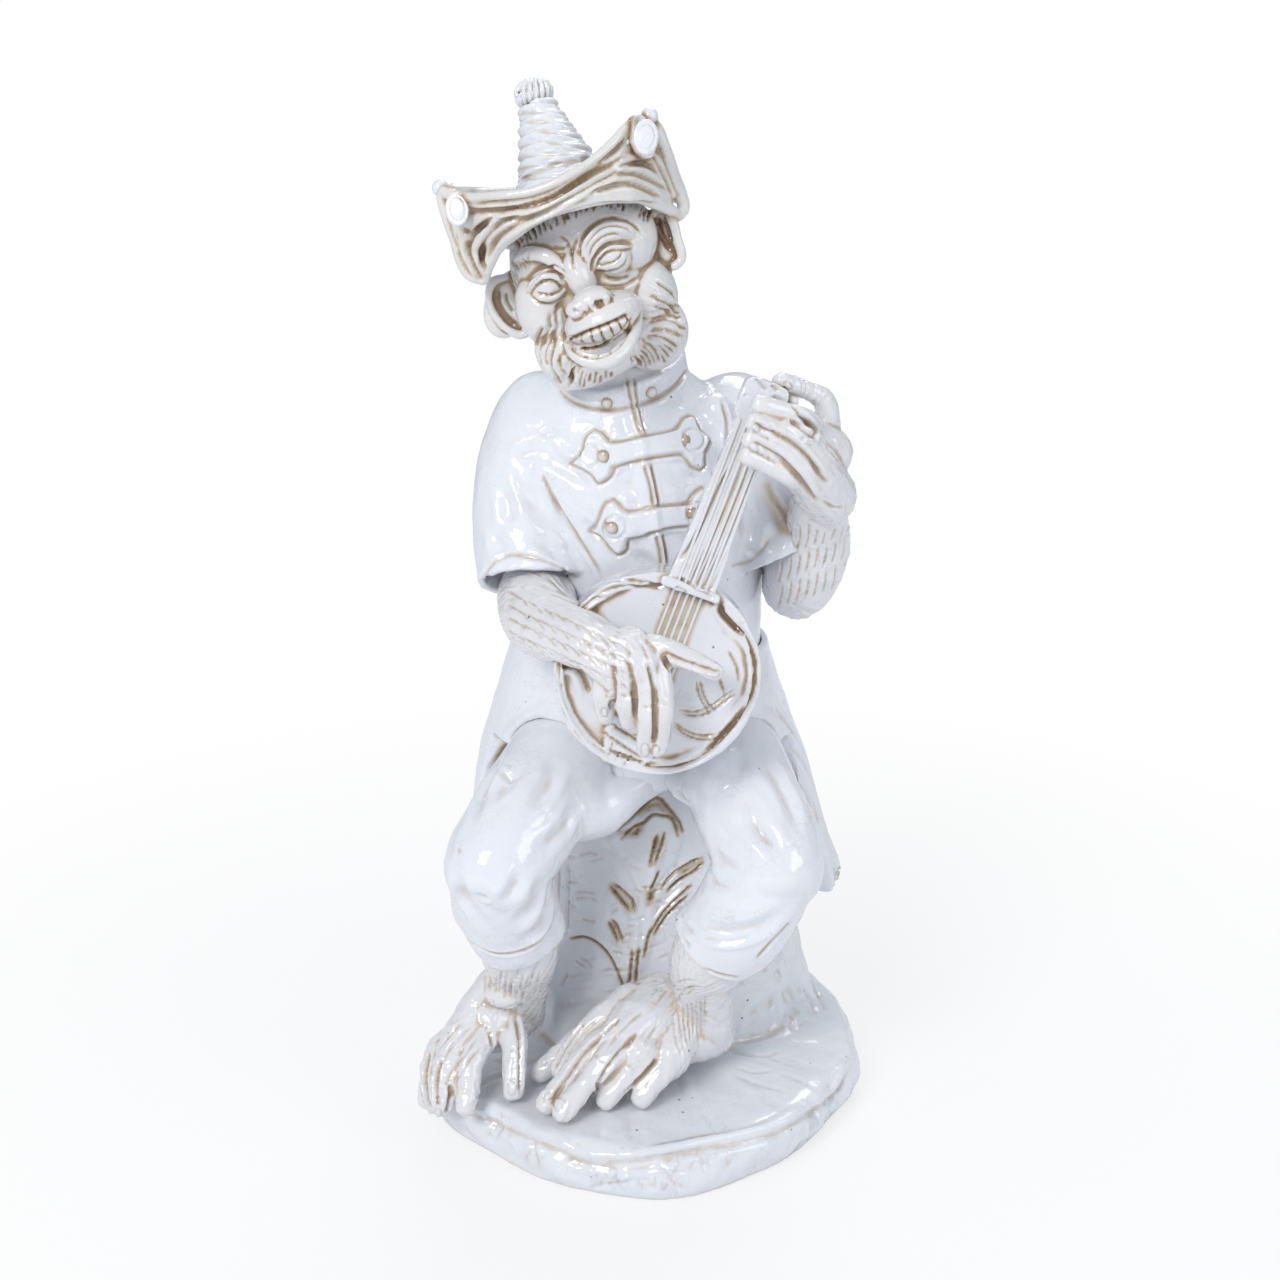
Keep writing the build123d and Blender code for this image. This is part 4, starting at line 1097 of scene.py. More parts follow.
@dataclass
class Garment(Casting):
    """A piece of clothing with folds, creases and turned hems."""

    folds: list[Path] = field(default_factory=list)
    creases: list[Path] = field(default_factory=list)
    hem: list[Path] = field(default_factory=list)
    joins: list[tuple[float, float, float, float]] = field(default_factory=list)

    def tool(self, clay: Clay) -> None:
        """Levels the joins, then draws the folds and the hem."""
        for u, v, y, radius in self.joins:
            clay.melt(24, clay.near(VIEW.spot(u, v, y), radius, 0.7))
        clay.dent(20, 0.7, None, 6.1)
        clay.settle()
        clay.draw(self.folds, 3.6, 1.9, 0.4, 0.55)
        clay.draw(self.creases, 1.7, 1.2, 0.35, 0.5)
        clay.draw(self.hem, 1.1, 1.1, 0.1)
        clay.tint(self.hem, 1.3, 0.3)


@dataclass
class Jacket(Garment):
    """The trunk and sleeves with collar, placket and frogs."""

    def tool(self, clay: Clay) -> None:
        """Raises the trim and draws the seams over the folds."""
        clay.melt(110, ease(0.2, 0.5, clay.normal[:, 1]) * ease(0.0, 0.02, clay.co[:, 1]))
        super().tool(clay)
        self.trim(clay)
        self.seams(clay)
        # Painted shade behind the left sleeve, brushed in as brown wash.
        armpit_shade = [[(768, 486), (776, 505), (786, 530)], [(776, 500), (784, 516), (790, 530)]]
        clay.tint(armpit_shade, 3.5, 0.45)

    def trim(self, clay: Clay) -> None:
        """Raises the placket and the two frogs."""
        upper = [
            (569, 464), (578, 458), (583, 448), (586, 438), (594, 430), (603, 433), (609, 441),
            (619, 442), (641, 437),
            (666, 433), (677, 428), (684, 418), (694, 417), (700, 430), (710, 440), (704, 453),
            (705, 466), (700, 470),
            (691, 466), (682, 455), (666, 456), (636, 461), (614, 468), (611, 476), (599, 484),
            (593, 476), (583, 469)
        ]
        lower = [
            (589, 532), (596, 526), (601, 513), (606, 503), (614, 500), (623, 509), (629, 512),
            (657, 507), (686, 504),
            (692, 496), (702, 488), (709, 493), (714, 501), (707, 508), (702, 522), (697, 525),
            (669, 528), (646, 534),
            (629, 539), (627, 549), (618, 555), (609, 547), (601, 537)
        ]
        strip = [(627, 380), (633, 400), (639, 422), (645, 464), (653, 500), (658, 532), (662, 566)]
        clay.draw([strip], 2.0, -1.0, 0.0, 0.0)
        for outline in (upper, lower):
            clay.raise_panel(outline, 2.3, 5.0, 60.0)
            clay.draw([outline + outline[:1]], 1.1, 1.2, 0.0, 0.15)
            clay.tint([outline + outline[:1]], 1.1, 0.42)
        lines = [
            [(627, 380), (630, 396), (636, 420), (641, 435)],
            [(634, 380), (637, 400), (642, 423), (645, 433)], [(644, 466), (650, 486), (653, 506)],
            [(651, 466), (655, 483), (659, 505)], [(656, 536), (659, 548), (661, 565)],
            [(662, 534), (665, 548), (667, 564)],
        ]
        clay.draw(lines, 0.9, 1.2, 0.1)
        clay.tint(lines, 1.1, 0.5)
        sockets = [
            oval(591, 456, 10, 10.5), oval(692, 441, 10, 10.5), oval(616, 527, 11, 11),
            oval(696, 513, 10.5, 11)
        ]
        clay.draw(sockets, 0.7, 1.0, 0.0)

    def seams(self, clay: Clay) -> None:
        """Draws the armhole seams and the pull of the cloth."""
        seams = [
            [(543, 476), (553, 498), (568, 522), (583, 546), (594, 564), (601, 577)],
            [
                (560, 391), (569, 400), (586, 407), (611, 410), (629, 407), (646, 403), (666, 393),
                (679, 382), (687, 369)
            ],
            [(722, 400), (728, 425), (726, 455), (716, 490)],
        ]
        clay.draw(seams, 1.2, 1.5, 0.1)
        clay.tint(seams, 1.2, 0.36)
        pulls = [
            [(560, 430), (568, 445), (580, 440)], [(556, 470), (572, 492), (588, 505)],
            [(563, 462), (580, 480), (594, 492)], [(612, 480), (624, 488), (640, 486)],
            [(664, 470), (680, 480), (700, 478)], [(575, 520), (590, 530), (600, 545)],
            [(630, 556), (645, 560), (655, 570)], [(672, 540), (690, 545), (705, 538)],
            [(668, 405), (680, 402), (690, 392)], [(580, 420), (592, 424), (606, 420)],
        ]
        clay.draw(pulls, 3.0, 1.0, 0.4, 0.5)


@dataclass
class Skirt(Casting):
    """The coat's tails, spread over the rock."""

    def lumps(self) -> list[bpy.types.Object]:
        """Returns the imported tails, with clay behind the thin place over the rock."""
        slope, level = 0.34, 0.166
        seat = [(-0.034, 0.0640), (-0.0135, 0.0686), (0.005, 0.0694), (0.024, 0.0668)]
        rises = (-0.012, -0.006, 0.0, 0.006)
        rows = [[np.array((x, y - slope * rise, level + rise)) for x, y in seat] for rise in rises]
        return [*super().lumps(), *(roll(row, [2.2, 2.4, 2.4, 2.2]) for row in rows)]

    def tool(self, clay: Clay) -> None:
        """Rolls the hems and lets the cloth fall in soft folds."""
        turn = np.degrees(np.arctan2(clay.co[:, 0], -clay.co[:, 1]))
        behind = ease(60, 100, np.abs(turn))
        low = 1 - ease(0.16, 0.24, clay.co[:, 2])
        wave = np.sin(np.radians(turn) * 11 + 1.5 * np.sin(clay.co[:, 2] * 40))
        clay.co += clay.normal * (wave * behind * low * 1.6 * MM)[:, None]
        clay.commit()
        clay.dent(22, 0.6, None, 4.4)
        clay.settle()
        hems = [
            [(558, 709), (533, 721), (511, 739), (494, 762), (488, 772)],
            [(754, 712), (772, 727), (790, 744), (806, 768), (820, 798), (833, 828)],
        ]
        clay.draw(hems, 1.0, 1.3, 0.1)
        rolls = [[(u - 5, v - 5) for u, v in hems[0]], [(u + 6, v - 4) for u, v in hems[1]]]
        clay.draw(rolls, 2.2, -0.9, 0.1, 0.0)
        folds = [
            [(520, 730), (505, 752), (492, 774)], [(530, 738), (515, 762), (500, 786)],
            [(770, 700), (786, 722), (800, 748)], [(776, 745), (794, 775), (806, 812)],
            [(790, 760), (806, 792), (818, 830)], [(806, 800), (812, 820), (816, 845)],
            [(798, 790), (805, 815), (808, 838)],
        ]
        clay.draw(folds, 2.4, 1.2, 0.35, 0.5)
        stains = [[(804, 805), (806, 822), (809, 838)], [(814, 806), (817, 818)], [(508, 745), (500, 757)]]
        clay.tint(stains, 4.0, 0.5)


@dataclass
class Limb(Casting):
    """A furry arm or leg with fingers or toes."""

    axis: list[tuple[float, float, float]] = field(default_factory=list)
    bare: list[tuple[float, float, float, float]] = field(default_factory=list)
    grooves: list[Path] = field(default_factory=list)
    creases: list[Path] = field(default_factory=list)
    hairs: list[Path] = field(default_factory=list)
    nail_ovals: list[Path] = field(default_factory=list)

    def tool(self, clay: Clay) -> None:
        """Combs the fur and parts the fingers."""
        mask = np.ones(clay.count)
        for u, v, y, radius in self.bare:
            mask *= 1 - clay.near(VIEW.spot(u, v, y), radius, 0.5)
        clay.comb(np.array([VIEW.spot(*p) for p in self.axis]), 0.75, 2.4, 12.0, mask)
        clay.dent(9, 0.25, None, 9.2)
        clay.settle()
        clay.draw(self.grooves, 1.3, 2.3, 0.12)
        clay.tint(self.grooves, 1.2, 0.18)
        clay.draw(self.creases, 0.9, 0.8, 0.3)
        clay.draw(self.hairs, 0.65, 0.9, 0.3)
        clay.nails(self.nail_ovals)


@dataclass
class Head(Casting):
    """The grinning head with its whiskers and ears."""

    lean: tuple[float, float, float] = (0, -24, 0)
    teeth: int = 7
    lip_edge: Path = field(
        default_factory=lambda: [(565, 341), (573, 339), (586, 333), (602, 327), (617, 321), (630, 314)]
    )
    bite: Path = field(
        default_factory=lambda: [
            (568, 344), (576, 348), (588, 349), (602, 346), (613, 338), (623, 329), (630, 318)
        ]
    )
    low_lip: Path = field(
        default_factory=lambda: [
            (568, 345), (579, 353), (592, 357), (607, 354), (620, 344), (629, 328), (633, 314)
        ]
    )

    def lumps(self) -> list[bpy.types.Object]:
        """Returns the skull, cheeks, jaw, lids, lips and ears as lumps and coils."""
        spot, lean = VIEW.spot, self.lean
        clay = [
            ball(at(-0.048, -0.070, 0.838), (33, 32, 37), lean),
            roll([at(-0.020, -0.020, 0.735), at(-0.040, -0.050, 0.800)], [23, 26]),
            ball(spot(590, 250, -48), (31, 19, 22), lean),
            ball(spot(546, 310, -50), (13, 16, 17), lean),
            ball(spot(647, 290, -42), (13, 17, 17), lean),
            ball(spot(563, 352, -50), (12, 15, 15), lean),
            ball(spot(650, 330, -40), (17, 16, 18), lean),
            ball(spot(600, 360, -48), (24, 15, 10), lean),
            ball(spot(603, 317, -72), (17.5, 18, 9.8), lean),
            ball(spot(596, 338, -62), (14.5, 17, 9.5), lean),
            ball(spot(590, 300, -80), (8.5, 8, 5.5), lean),
            ball(spot(576, 309, -83), (4.4, 5.0, 3.8), lean),
            ball(spot(601, 298, -82), (4.6, 5.0, 3.9), lean),
            ball(spot(580, 276, -66), (6.5, 8, 11), lean),
            ball(spot(549, 287, -60.5), 7.9),
            ball(spot(612, 257, -61.5), 8.2),
        ]
        right_brow = [(517, 258, -52), (529, 253, -60), (548, 257, -65), (565, 269, -67)]
        clay.append(roll([spot(*p) for p in right_brow], [2.0, 3.1, 3.3, 2.2]))
        left_brow = [(587, 268, -67), (589, 248, -68), (602, 234, -67), (622, 231, -63), (641, 241, -55)]
        clay.append(roll([spot(*p) for p in left_brow], [2.2, 3.6, 4.2, 3.6, 2.0]))
        lips = [
            (566, 343, -78), (575, 354, -84), (590, 361, -87), (608, 361, -87), (624, 350, -83),
            (634, 332, -77), (638, 313, -71), (637, 300, -66)
        ]
        clay.append(roll([spot(*p) for p in lips], [1.4, 2.8, 3.3, 3.6, 3.4, 3.0, 2.3, 1.2]))
        lids = [
            [
                (527, 293, -59), (533, 284, -64), (541, 278, -66.5), (550, 276, -67), (559, 279, -66.5),
                (565, 287, -65)
            ],
            [(534, 293, -63), (541, 297, -66), (550, 298, -67), (558, 295, -67), (564, 290, -66)],
            [
                (594, 270, -67), (598, 257, -68), (606, 249, -68), (615, 246, -67), (624, 247, -65),
                (633, 247, -60)
            ],
            [(598, 267, -67), (607, 267, -68), (616, 265, -67), (622, 260, -65), (625, 253, -63)],
        ]
        for lid in lids:
            clay.append(roll([spot(*p) for p in lid], [0.9] + [1.5] * (len(lid) - 2) + [0.9]))
        right_ear = [
            (506, 277, -36), (494, 281, -37), (490, 292, -37), (492, 306, -37), (499, 318, -37),
            (508, 328, -38), (519, 335, -38), (526, 333, -38),
        ]
        left_ear = [
            (650, 224, -47), (653, 214, -48), (661, 209, -48), (669, 213, -47), (674, 225, -46),
            (677, 239, -46), (681, 251, -46), (681, 260, -46), (675, 266, -47),
        ]
        right_plate = ball(spot(510, 304, -34), (11, 4.5, 16), (0, 24, 0))
        left_plate = ball(spot(664, 240, -42), (7.5, 4.5, 14), (0, -14, 0))
        for plate, rim in ((right_plate, right_ear), (left_plate, left_ear)):
            clay += [plate, roll([spot(*p) for p in rim], [1.5] + [2.2] * (len(rim) - 2) + [2.0])]
        return clay

    def tool(self, clay: Clay) -> None:
        """Draws the features of the face and combs the whiskers."""
        clay.melt(70, ease(0.1, 0.5, clay.normal[:, 1]) * ease(-0.03, -0.015, clay.co[:, 1]))
        self.eyes(clay)
        self.nose(clay)
        self.mouth(clay)
        self.wrinkles(clay)
        self.hair(clay)
        self.whiskers(clay)
        self.ears(clay)

    def eyes(self, clay: Clay) -> None:
        """Cuts the lids round two almond eyes."""
        creases = [
            [(524, 296), (531, 283), (540, 275), (550, 272), (560, 275), (567, 283), (568, 292)],
            [(591, 274), (593, 260), (600, 250), (609, 244), (619, 243), (628, 244), (637, 246)],
            [(533, 298), (541, 302), (550, 303), (558, 300), (566, 293)],
            [(597, 272), (606, 271), (617, 270), (625, 264), (629, 254)],
        ]
        edges = [
            [(531, 293), (536, 286), (543, 281), (550, 280), (556, 282), (561, 287), (565, 289)],
            [(536, 292), (542, 294), (550, 295), (557, 292), (563, 289)],
            [(596, 268), (600, 259), (606, 253), (613, 250), (620, 250), (627, 250), (634, 248)],
            [(599, 265), (607, 264), (614, 262), (620, 257), (623, 251)],
        ]
        clay.draw(creases, 0.8, 1.1)
        clay.draw(edges, 0.6, 1.3, 0.12, 0.2)

    def nose(self, clay: Clay) -> None:
        """Opens the nostrils and marks the flat nose."""
        nostrils = [[(572, 307), (574, 312), (579, 314)], [(594, 303), (599, 304), (604, 301)]]
        clay.draw(nostrils, 1.3, 3.0, 0.1, 0.1)
        wings = [
            [(563, 300), (567, 306), (569, 314)], [(607, 292), (612, 297), (612, 303)],
            [(585, 303), (589, 308), (591, 313)],
        ]
        clay.draw(wings, 0.8, 0.7)

    def mouth(self, clay: Clay) -> None:
        """Cuts the mouth and its teeth."""
        clay.draw([self.lip_edge], 1.2, 2.4, 0.1, 0.1)
        clay.draw([self.bite], 0.7, 1.3, 0.1, 0.1)
        clay.draw([self.low_lip], 0.9, 1.8, 0.1, 0.1)
        gaps = [cross(self.lip_edge, self.bite, (i + 0.7) / self.teeth) for i in range(self.teeth)]
        gaps += [cross(self.bite, self.low_lip, (i + 0.6) / self.teeth) for i in range(self.teeth)]
        clay.draw(gaps, 0.5, 1.3, 0.0, 0.0)
        clay.tint(gaps, 0.8, 0.5)
        clay.tint([self.lip_edge, self.bite], 1.3, 0.4)

    def wrinkles(self, clay: Clay) -> None:
        """Draws the frown and the folds."""
        frown = [
            [(581, 256), (582, 239), (592, 225), (606, 218), (621, 219), (634, 226), (646, 237)],
            [(584, 262), (586, 244), (596, 231), (607, 225), (623, 226), (637, 234)],
            [(589, 262), (593, 247), (602, 238), (613, 234), (624, 237)],
            [(573, 262), (571, 250), (567, 241), (558, 235)],
            [(579, 277), (573, 266), (572, 252), (576, 241), (581, 233)],
            [(552, 246), (563, 248), (571, 243)], [(527, 277), (539, 268), (554, 266), (566, 273)],
        ]
        folds = [
            [(560, 303), (556, 313), (558, 326)], [(553, 310), (550, 320), (553, 331)],
            [(598, 283), (612, 287), (627, 284), (640, 276)], [(604, 278), (618, 280), (632, 276)],
        ]
        clay.draw(frown, 0.9, 1.1)
        clay.draw(folds, 1.1, 1.0)

    def hair(self, clay: Clay) -> None:
        """Combs the fringe under the hat."""
        top = [
            (497, 262), (508, 243), (530, 222), (560, 206), (590, 196), (620, 190), (645, 194), (654, 205)
        ]
        foot = [
            (512, 276), (524, 250), (547, 236), (571, 224), (592, 214), (613, 212), (634, 216), (648, 228)
        ]
        clay.draw(strokes(top, foot, 84, 3.0, 0.35), 0.7, 1.1, 0.3)
        temples = [[(500, 266), (508, 248), (524, 234)], [(652, 208), (655, 226), (664, 244)]]
        clay.tint(temples, 5.0, 0.35)
        side = [(504, 268), (514, 256), (526, 246)]
        end = [(518, 292), (524, 274), (534, 262)]
        clay.draw(strokes(side, end, 14, 1.5, 0.4), 0.6, 1.0, 0.3)

    def whiskers(self, clay: Clay) -> None:
        """Combs the locks of the ruff."""
        right = [
            [(655, 281), (672, 292), (682, 304)], [(637, 296), (652, 297), (669, 303), (686, 312)],
            [(641, 306), (659, 308), (678, 312), (690, 319)],
            [(642, 315), (659, 313), (675, 316), (690, 322)],
            [(642, 323), (659, 319), (676, 323), (688, 330)],
            [(643, 332), (659, 329), (675, 333), (686, 338)],
            [(641, 338), (655, 337), (669, 342), (680, 349)],
            [(642, 342), (651, 348), (658, 357), (661, 370)], [(634, 352), (640, 363), (642, 378)],
            [(626, 359), (629, 368), (630, 381)],
        ]
        chin = [
            [(626, 359), (630, 372), (632, 386)], [(610, 366), (612, 378), (611, 389)],
            [(592, 366), (590, 378), (588, 389)], [(578, 360), (573, 374), (570, 388)],
        ]
        left = [
            [(578, 360), (574, 370), (572, 384)], [(565, 350), (560, 362), (566, 378), (575, 388)],
            [(560, 332), (553, 351), (551, 368), (563, 387)],
            [(561, 322), (551, 340), (544, 358), (552, 376)],
            [(552, 322), (546, 336), (538, 350), (541, 368)],
            [(543, 326), (538, 336), (533, 346), (535, 358)],
        ]
        for guides in (right, chin, left):
            locks = [path for one, two in zip(guides[:-1], guides[1:]) for path in fan(one, two, 3)]
            clay.draw(guides, 0.9, 1.7, 0.25)
            clay.draw(locks, 0.7, 1.3, 0.25)

    def ears(self, clay: Clay) -> None:
        """Opens the ears."""
        right_bowl = [(498, 287), (497, 300), (503, 313), (512, 323), (521, 328)]
        left_bowl = [(657, 216), (660, 228), (665, 240), (671, 253)]
        clay.draw([right_bowl, left_bowl], 1.7, 2.4, 0.2, 0.0)
        folds = [[(506, 290), (507, 302), (515, 314)], [(664, 216), (668, 228), (672, 242)]]
        clay.draw(folds, 1.0, 1.4)
        shade = [(656, 214), (660, 230), (667, 244), (673, 256)]
        clay.tint([shade], 2.6, 0.4)


@dataclass
class Brim(Casting):
    """The turned-up brim, creased and drooping over both ears."""

    def lumps(self) -> list[bpy.types.Object]:
        """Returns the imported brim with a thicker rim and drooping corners."""
        spot = VIEW.spot
        rim = [
            (443, 191, -58), (456, 198, -62), (472, 200, -69), (502, 198, -80), (533, 194, -84),
            (563, 182, -85),
            (594, 163, -80), (616, 143, -74), (632, 124, -68)
        ]
        left = [
            (441, 196, -56), (447, 214, -55), (455, 236, -55), (462, 256, -54), (470, 272, -53),
            (483, 279, -56)
        ]
        inner = [(456, 206, -57), (464, 230, -59), (472, 250, -59), (480, 268, -58)]
        right = [
            (640, 120, -62), (656, 128, -56), (666, 154, -50), (676, 184, -44), (684, 206, -42),
            (680, 214, -42)
        ]
        foot = [
            (484, 279, -56), (490, 262, -62), (502, 244, -69), (518, 230, -75), (542, 216, -79),
            (566, 207, -80),
            (592, 202, -78), (618, 198, -72), (643, 200, -62), (668, 210, -50), (678, 216, -43)
        ]
        band = [
            (452, 216, -55), (470, 222, -62), (500, 212, -75), (540, 206, -82), (575, 194, -83),
            (605, 178, -78),
            (630, 158, -68), (654, 162, -54), (670, 190, -45)
        ]
        lobe = [(464, 244, -57), (480, 240, -63), (500, 228, -71), (530, 216, -77)]
        return [
            node_copy("hat_brim"),
            roll([spot(*p) for p in rim], [2.2] + [2.5] * 7 + [2.2]),
            roll([spot(*p) for p in left], [2.4, 3.0, 3.4, 3.6, 3.6, 2.8]),
            roll([spot(*p) for p in inner], [4.0, 4.8, 5.0, 4.4]),
            roll([spot(*p) for p in right], [2.2, 2.8, 3.0, 3.0, 2.8, 2.4]),
            roll([spot(*p) for p in foot], [2.5] * 11),
            roll([spot(*p) for p in band], [3.6] * 9),
            roll([spot(*p) for p in lobe], [4.4, 4.4, 3.8, 3.2]),
        ]

    def tool(self, clay: Clay) -> None:
        """Rolls the rim and folds the underside."""
        rim = [
            (442, 187), (471, 197), (502, 195), (533, 191), (563, 179), (594, 160), (624, 130), (635, 113)
        ]
        clay.dent(16, 0.5, None, 7.9)
        clay.settle()
        clay.draw([rim], 2.4, -1.3, 0.05, 0.0)
        folds = [
            [(466, 203), (502, 202), (533, 198), (563, 186), (594, 167), (618, 147), (634, 124)],
            [(473, 211), (506, 210), (543, 202), (573, 186), (596, 172), (618, 161), (631, 160)],
            [(490, 216), (514, 220), (547, 211), (575, 195), (604, 179), (629, 173), (653, 181), (669, 191)],
            [(467, 236), (467, 252), (475, 269), (482, 281)],
            [(496, 215), (478, 230), (469, 246), (473, 264)],
            [(526, 213), (502, 222), (488, 236), (482, 254), (486, 273)],
            [(539, 215), (514, 226), (496, 240), (488, 256)],
            [(604, 175), (624, 166), (645, 164), (659, 173)],
            [(584, 195), (614, 185), (635, 185), (661, 197)],
        ]
        clay.draw(folds, 1.3, 2.0, 0.2, 0.4)
        between = [
            [(455, 230), (459, 248), (467, 264), (473, 277)],
            [(480, 206), (520, 206), (556, 196), (584, 180), (610, 161)],
            [(650, 150), (662, 172), (674, 196)], [(657, 146), (668, 170), (680, 200)],
            [(446, 212), (452, 232), (460, 256), (470, 276)],
        ]
        clay.draw(between, 1.0, 1.1, 0.25)
        top = [
            [(470, 192), (492, 188), (512, 184)], [(590, 152), (606, 138), (622, 122)],
            [(596, 142), (612, 128), (628, 116)],
        ]
        clay.draw(top, 1.6, 0.8, 0.3)
        clay.tint([folds[0], folds[1]], 3.0, 0.2)
        left_shade = [[(462, 236), (468, 256), (478, 274)], [(480, 222), (476, 244), (482, 262)]]
        clay.tint(left_shade, 4.0, 0.25)
        right_shade = [[(634, 125), (645, 122), (655, 128)], [(632, 150), (640, 158), (652, 156)]]
        clay.tint(right_shade, 4.0, 0.5)


@dataclass
class Crown(Casting):
    """The ribbed cone of the hat."""

    rib: float = 5.1

    def tool(self, clay: Clay) -> None:
        """Turns the ribs round the cone."""
        height = clay.co[:, 2]
        top, foot = height > np.quantile(height, 0.93), height < np.quantile(height, 0.25)
        axis = clay.co[top].mean(0) - clay.co[foot].mean(0)
        axis /= np.linalg.norm(axis)
        wobble = noise(clay.co / 0.014)
        run = (clay.co @ axis) / (self.rib * MM) + 0.16 * wobble
        phase = np.abs(run - np.round(run)) * 2
        depth = 1.15 * (1 - ease(0.0, 0.55, phase)) + 0.25 * phase
        clay.co -= clay.normal * (depth * MM)[:, None]
        clay.commit()
        clay.dent(10, 0.3, None, 3.3)
        clay.settle()
        seat = [(514, 184), (531, 175), (555, 165), (588, 158), (601, 150)]
        clay.draw([seat], 1.3, 1.6, 0.1)


@dataclass
class Tuft(Casting):
    """The fluted tuft on the hat."""

    flutes: int = 17

    def tool(self, clay: Clay) -> None:
        """Cuts the flutes round the tuft."""
        middle = clay.co.mean(0)
        turn = np.arctan2(clay.co[:, 0] - middle[0], middle[1] - clay.co[:, 1])
        away = np.linalg.norm(clay.co[:, :2] - middle[:2], axis=1)
        edge = ease(0.15, 0.6, away / np.quantile(away, 0.98))
        ridge = np.abs(np.sin(turn * self.flutes / 2 + 0.5 * noise(clay.co / 0.012)))
        clay.co += clay.normal * ((ridge**0.6 - 0.8) * edge * 1.7 * MM)[:, None]
        clay.commit()


@dataclass
class Medallions(Casting):
    """The two oval medallions with raised edges."""

    def lumps(self) -> list[bpy.types.Object]:
        """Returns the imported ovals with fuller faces."""
        left, right = VIEW.spot(457, 209, -71), VIEW.spot(646, 137, -77)
        faces = [ball(left, (5.2, 1.9, 7.4), (-18, -10, -8)), ball(right, (5.4, 1.9, 7.6), (-18, 6, 8))]
        return [node_copy("brim_medallions"), *faces]

    def tool(self, clay: Clay) -> None:
        """Cuts the line inside each raised edge."""
        clay.settle()
        edges = [oval(457, 209, 8.6, 12.8, -10), oval(646, 137, 8.8, 13.2, 6)]
        clay.draw(edges, 0.5, 0.4, 0.0)


@dataclass
class Trim(Casting):
    """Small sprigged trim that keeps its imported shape."""


@dataclass
class Lute(Casting):
    """The drum of the lute, with its raised rim, bridge and scored crescents."""

    def tool(self, clay: Clay) -> None:
        """Cuts the rim's channel and the drawn pattern."""
        clay.dent(18, 0.35, None, 2.9)
        clay.settle()
        channel = [
            (723, 599), (721, 611), (731, 623), (743, 635), (752, 652), (755, 670), (752, 693),
            (741, 713), (725, 733),
            (703, 754), (676, 766), (654, 766), (641, 765)
        ]
        clay.draw([channel], 1.5, 2.0, 0.05, 0.35)
        clay.tint([channel], 1.8, 0.25)
        edge = [
            (553, 666), (556, 693), (566, 719), (584, 744), (601, 760), (625, 772), (654, 776),
            (684, 774), (715, 758),
            (741, 735), (756, 703), (762, 668), (758, 642), (741, 615)
        ]
        clay.draw([edge], 1.2, 1.0, 0.05)
        left = [(563, 640), (559, 666), (562, 690), (571, 714), (587, 738), (604, 752), (622, 762)]
        clay.draw([left], 0.8, 0.8, 0.15)
        bands = [
            [(581, 595), (601, 584), (625, 580), (654, 584), (676, 584)],
            [(586, 602), (609, 589), (633, 586), (664, 588)], [(578, 612), (594, 600), (606, 596)],
        ]
        clay.draw(bands, 0.9, 1.3, 0.1)
        crescents = [
            [(676, 709), (694, 712), (711, 706), (735, 688)],
            [(677, 712), (695, 716), (713, 710), (737, 692)],
            [(672, 721), (686, 731), (703, 736), (723, 732)],
            [(672, 725), (686, 735), (704, 740), (722, 736)],
            [(696, 680), (699, 695), (705, 707), (713, 717)],
            [(700, 680), (703, 694), (709, 705), (717, 714)], [(719, 678), (725, 695)],
            [(728, 650), (737, 668), (738, 682)],
        ]
        clay.draw(crescents, 0.7, 1.2, 0.2)
        bridge = [(605, 726), (625, 740), (645, 753)]
        clay.draw([bridge], 2.0, -1.6, 0.05, 0.0)
        sides = [[(u - 3, v + 5) for u, v in bridge], [(u + 3, v - 5) for u, v in bridge]]
        clay.draw(sides, 0.7, 1.3, 0.05)
        strings = [
            [(602, 738), (603, 748)], [(613, 742), (609, 756)], [(623, 748), (615, 760)],
            [(633, 754), (621, 768)], [(608, 722), (612, 712)], [(620, 729), (624, 719)],
        ]
        clay.draw(strings, 0.5, 1.0, 0.1)
        thumb = [(552, 665), (576, 667), (582, 674), (590, 694)]
        clay.draw([thumb], 1.6, 1.8, 0.2)


@dataclass
class Neck(Casting):
    """The lute's neck with its head and nut."""

    def tool(self, clay: Clay) -> None:
        """Draws the strings' channels, the frets and the scroll."""
        clay.dent(14, 0.3, None, 5.2)
        clay.settle()
        borders = [
            [(649, 566), (664, 566), (677, 561), (687, 551), (697, 534), (705, 517), (715, 496), (730, 468)],
            [(766, 478), (760, 496), (749, 526), (736, 557), (728, 574)],
        ]
        clay.draw(borders, 0.9, 1.3, 0.1)
        left = [(684, 582), (700, 548), (716, 512), (738, 462), (752, 412)]
        right = [(712, 600), (733, 560), (748, 520), (762, 480), (772, 434)]
        clay.draw(fan(left, right, 4), 0.8, 0.7, 0.05)
        frets = [[(678, 577), (696, 588), (713, 598)], [(676, 587), (694, 598), (711, 608)]]
        clay.draw(frets, 0.8, 1.4, 0.05)
        scroll = [
            [(743, 376), (742, 388), (746, 397)], [(752, 374), (759, 382), (767, 391)],
            [(764, 378), (771, 385), (778, 391)], [(764, 404), (766, 409), (776, 415), (788, 421)],
            [(764, 404), (775, 398), (784, 403), (793, 409)],
        ]
        clay.draw(scroll, 0.9, 1.7, 0.1)
        stain = [(769, 406), (776, 410), (786, 415)]
        clay.tint([stain], 2.4, 0.6)


# Studio


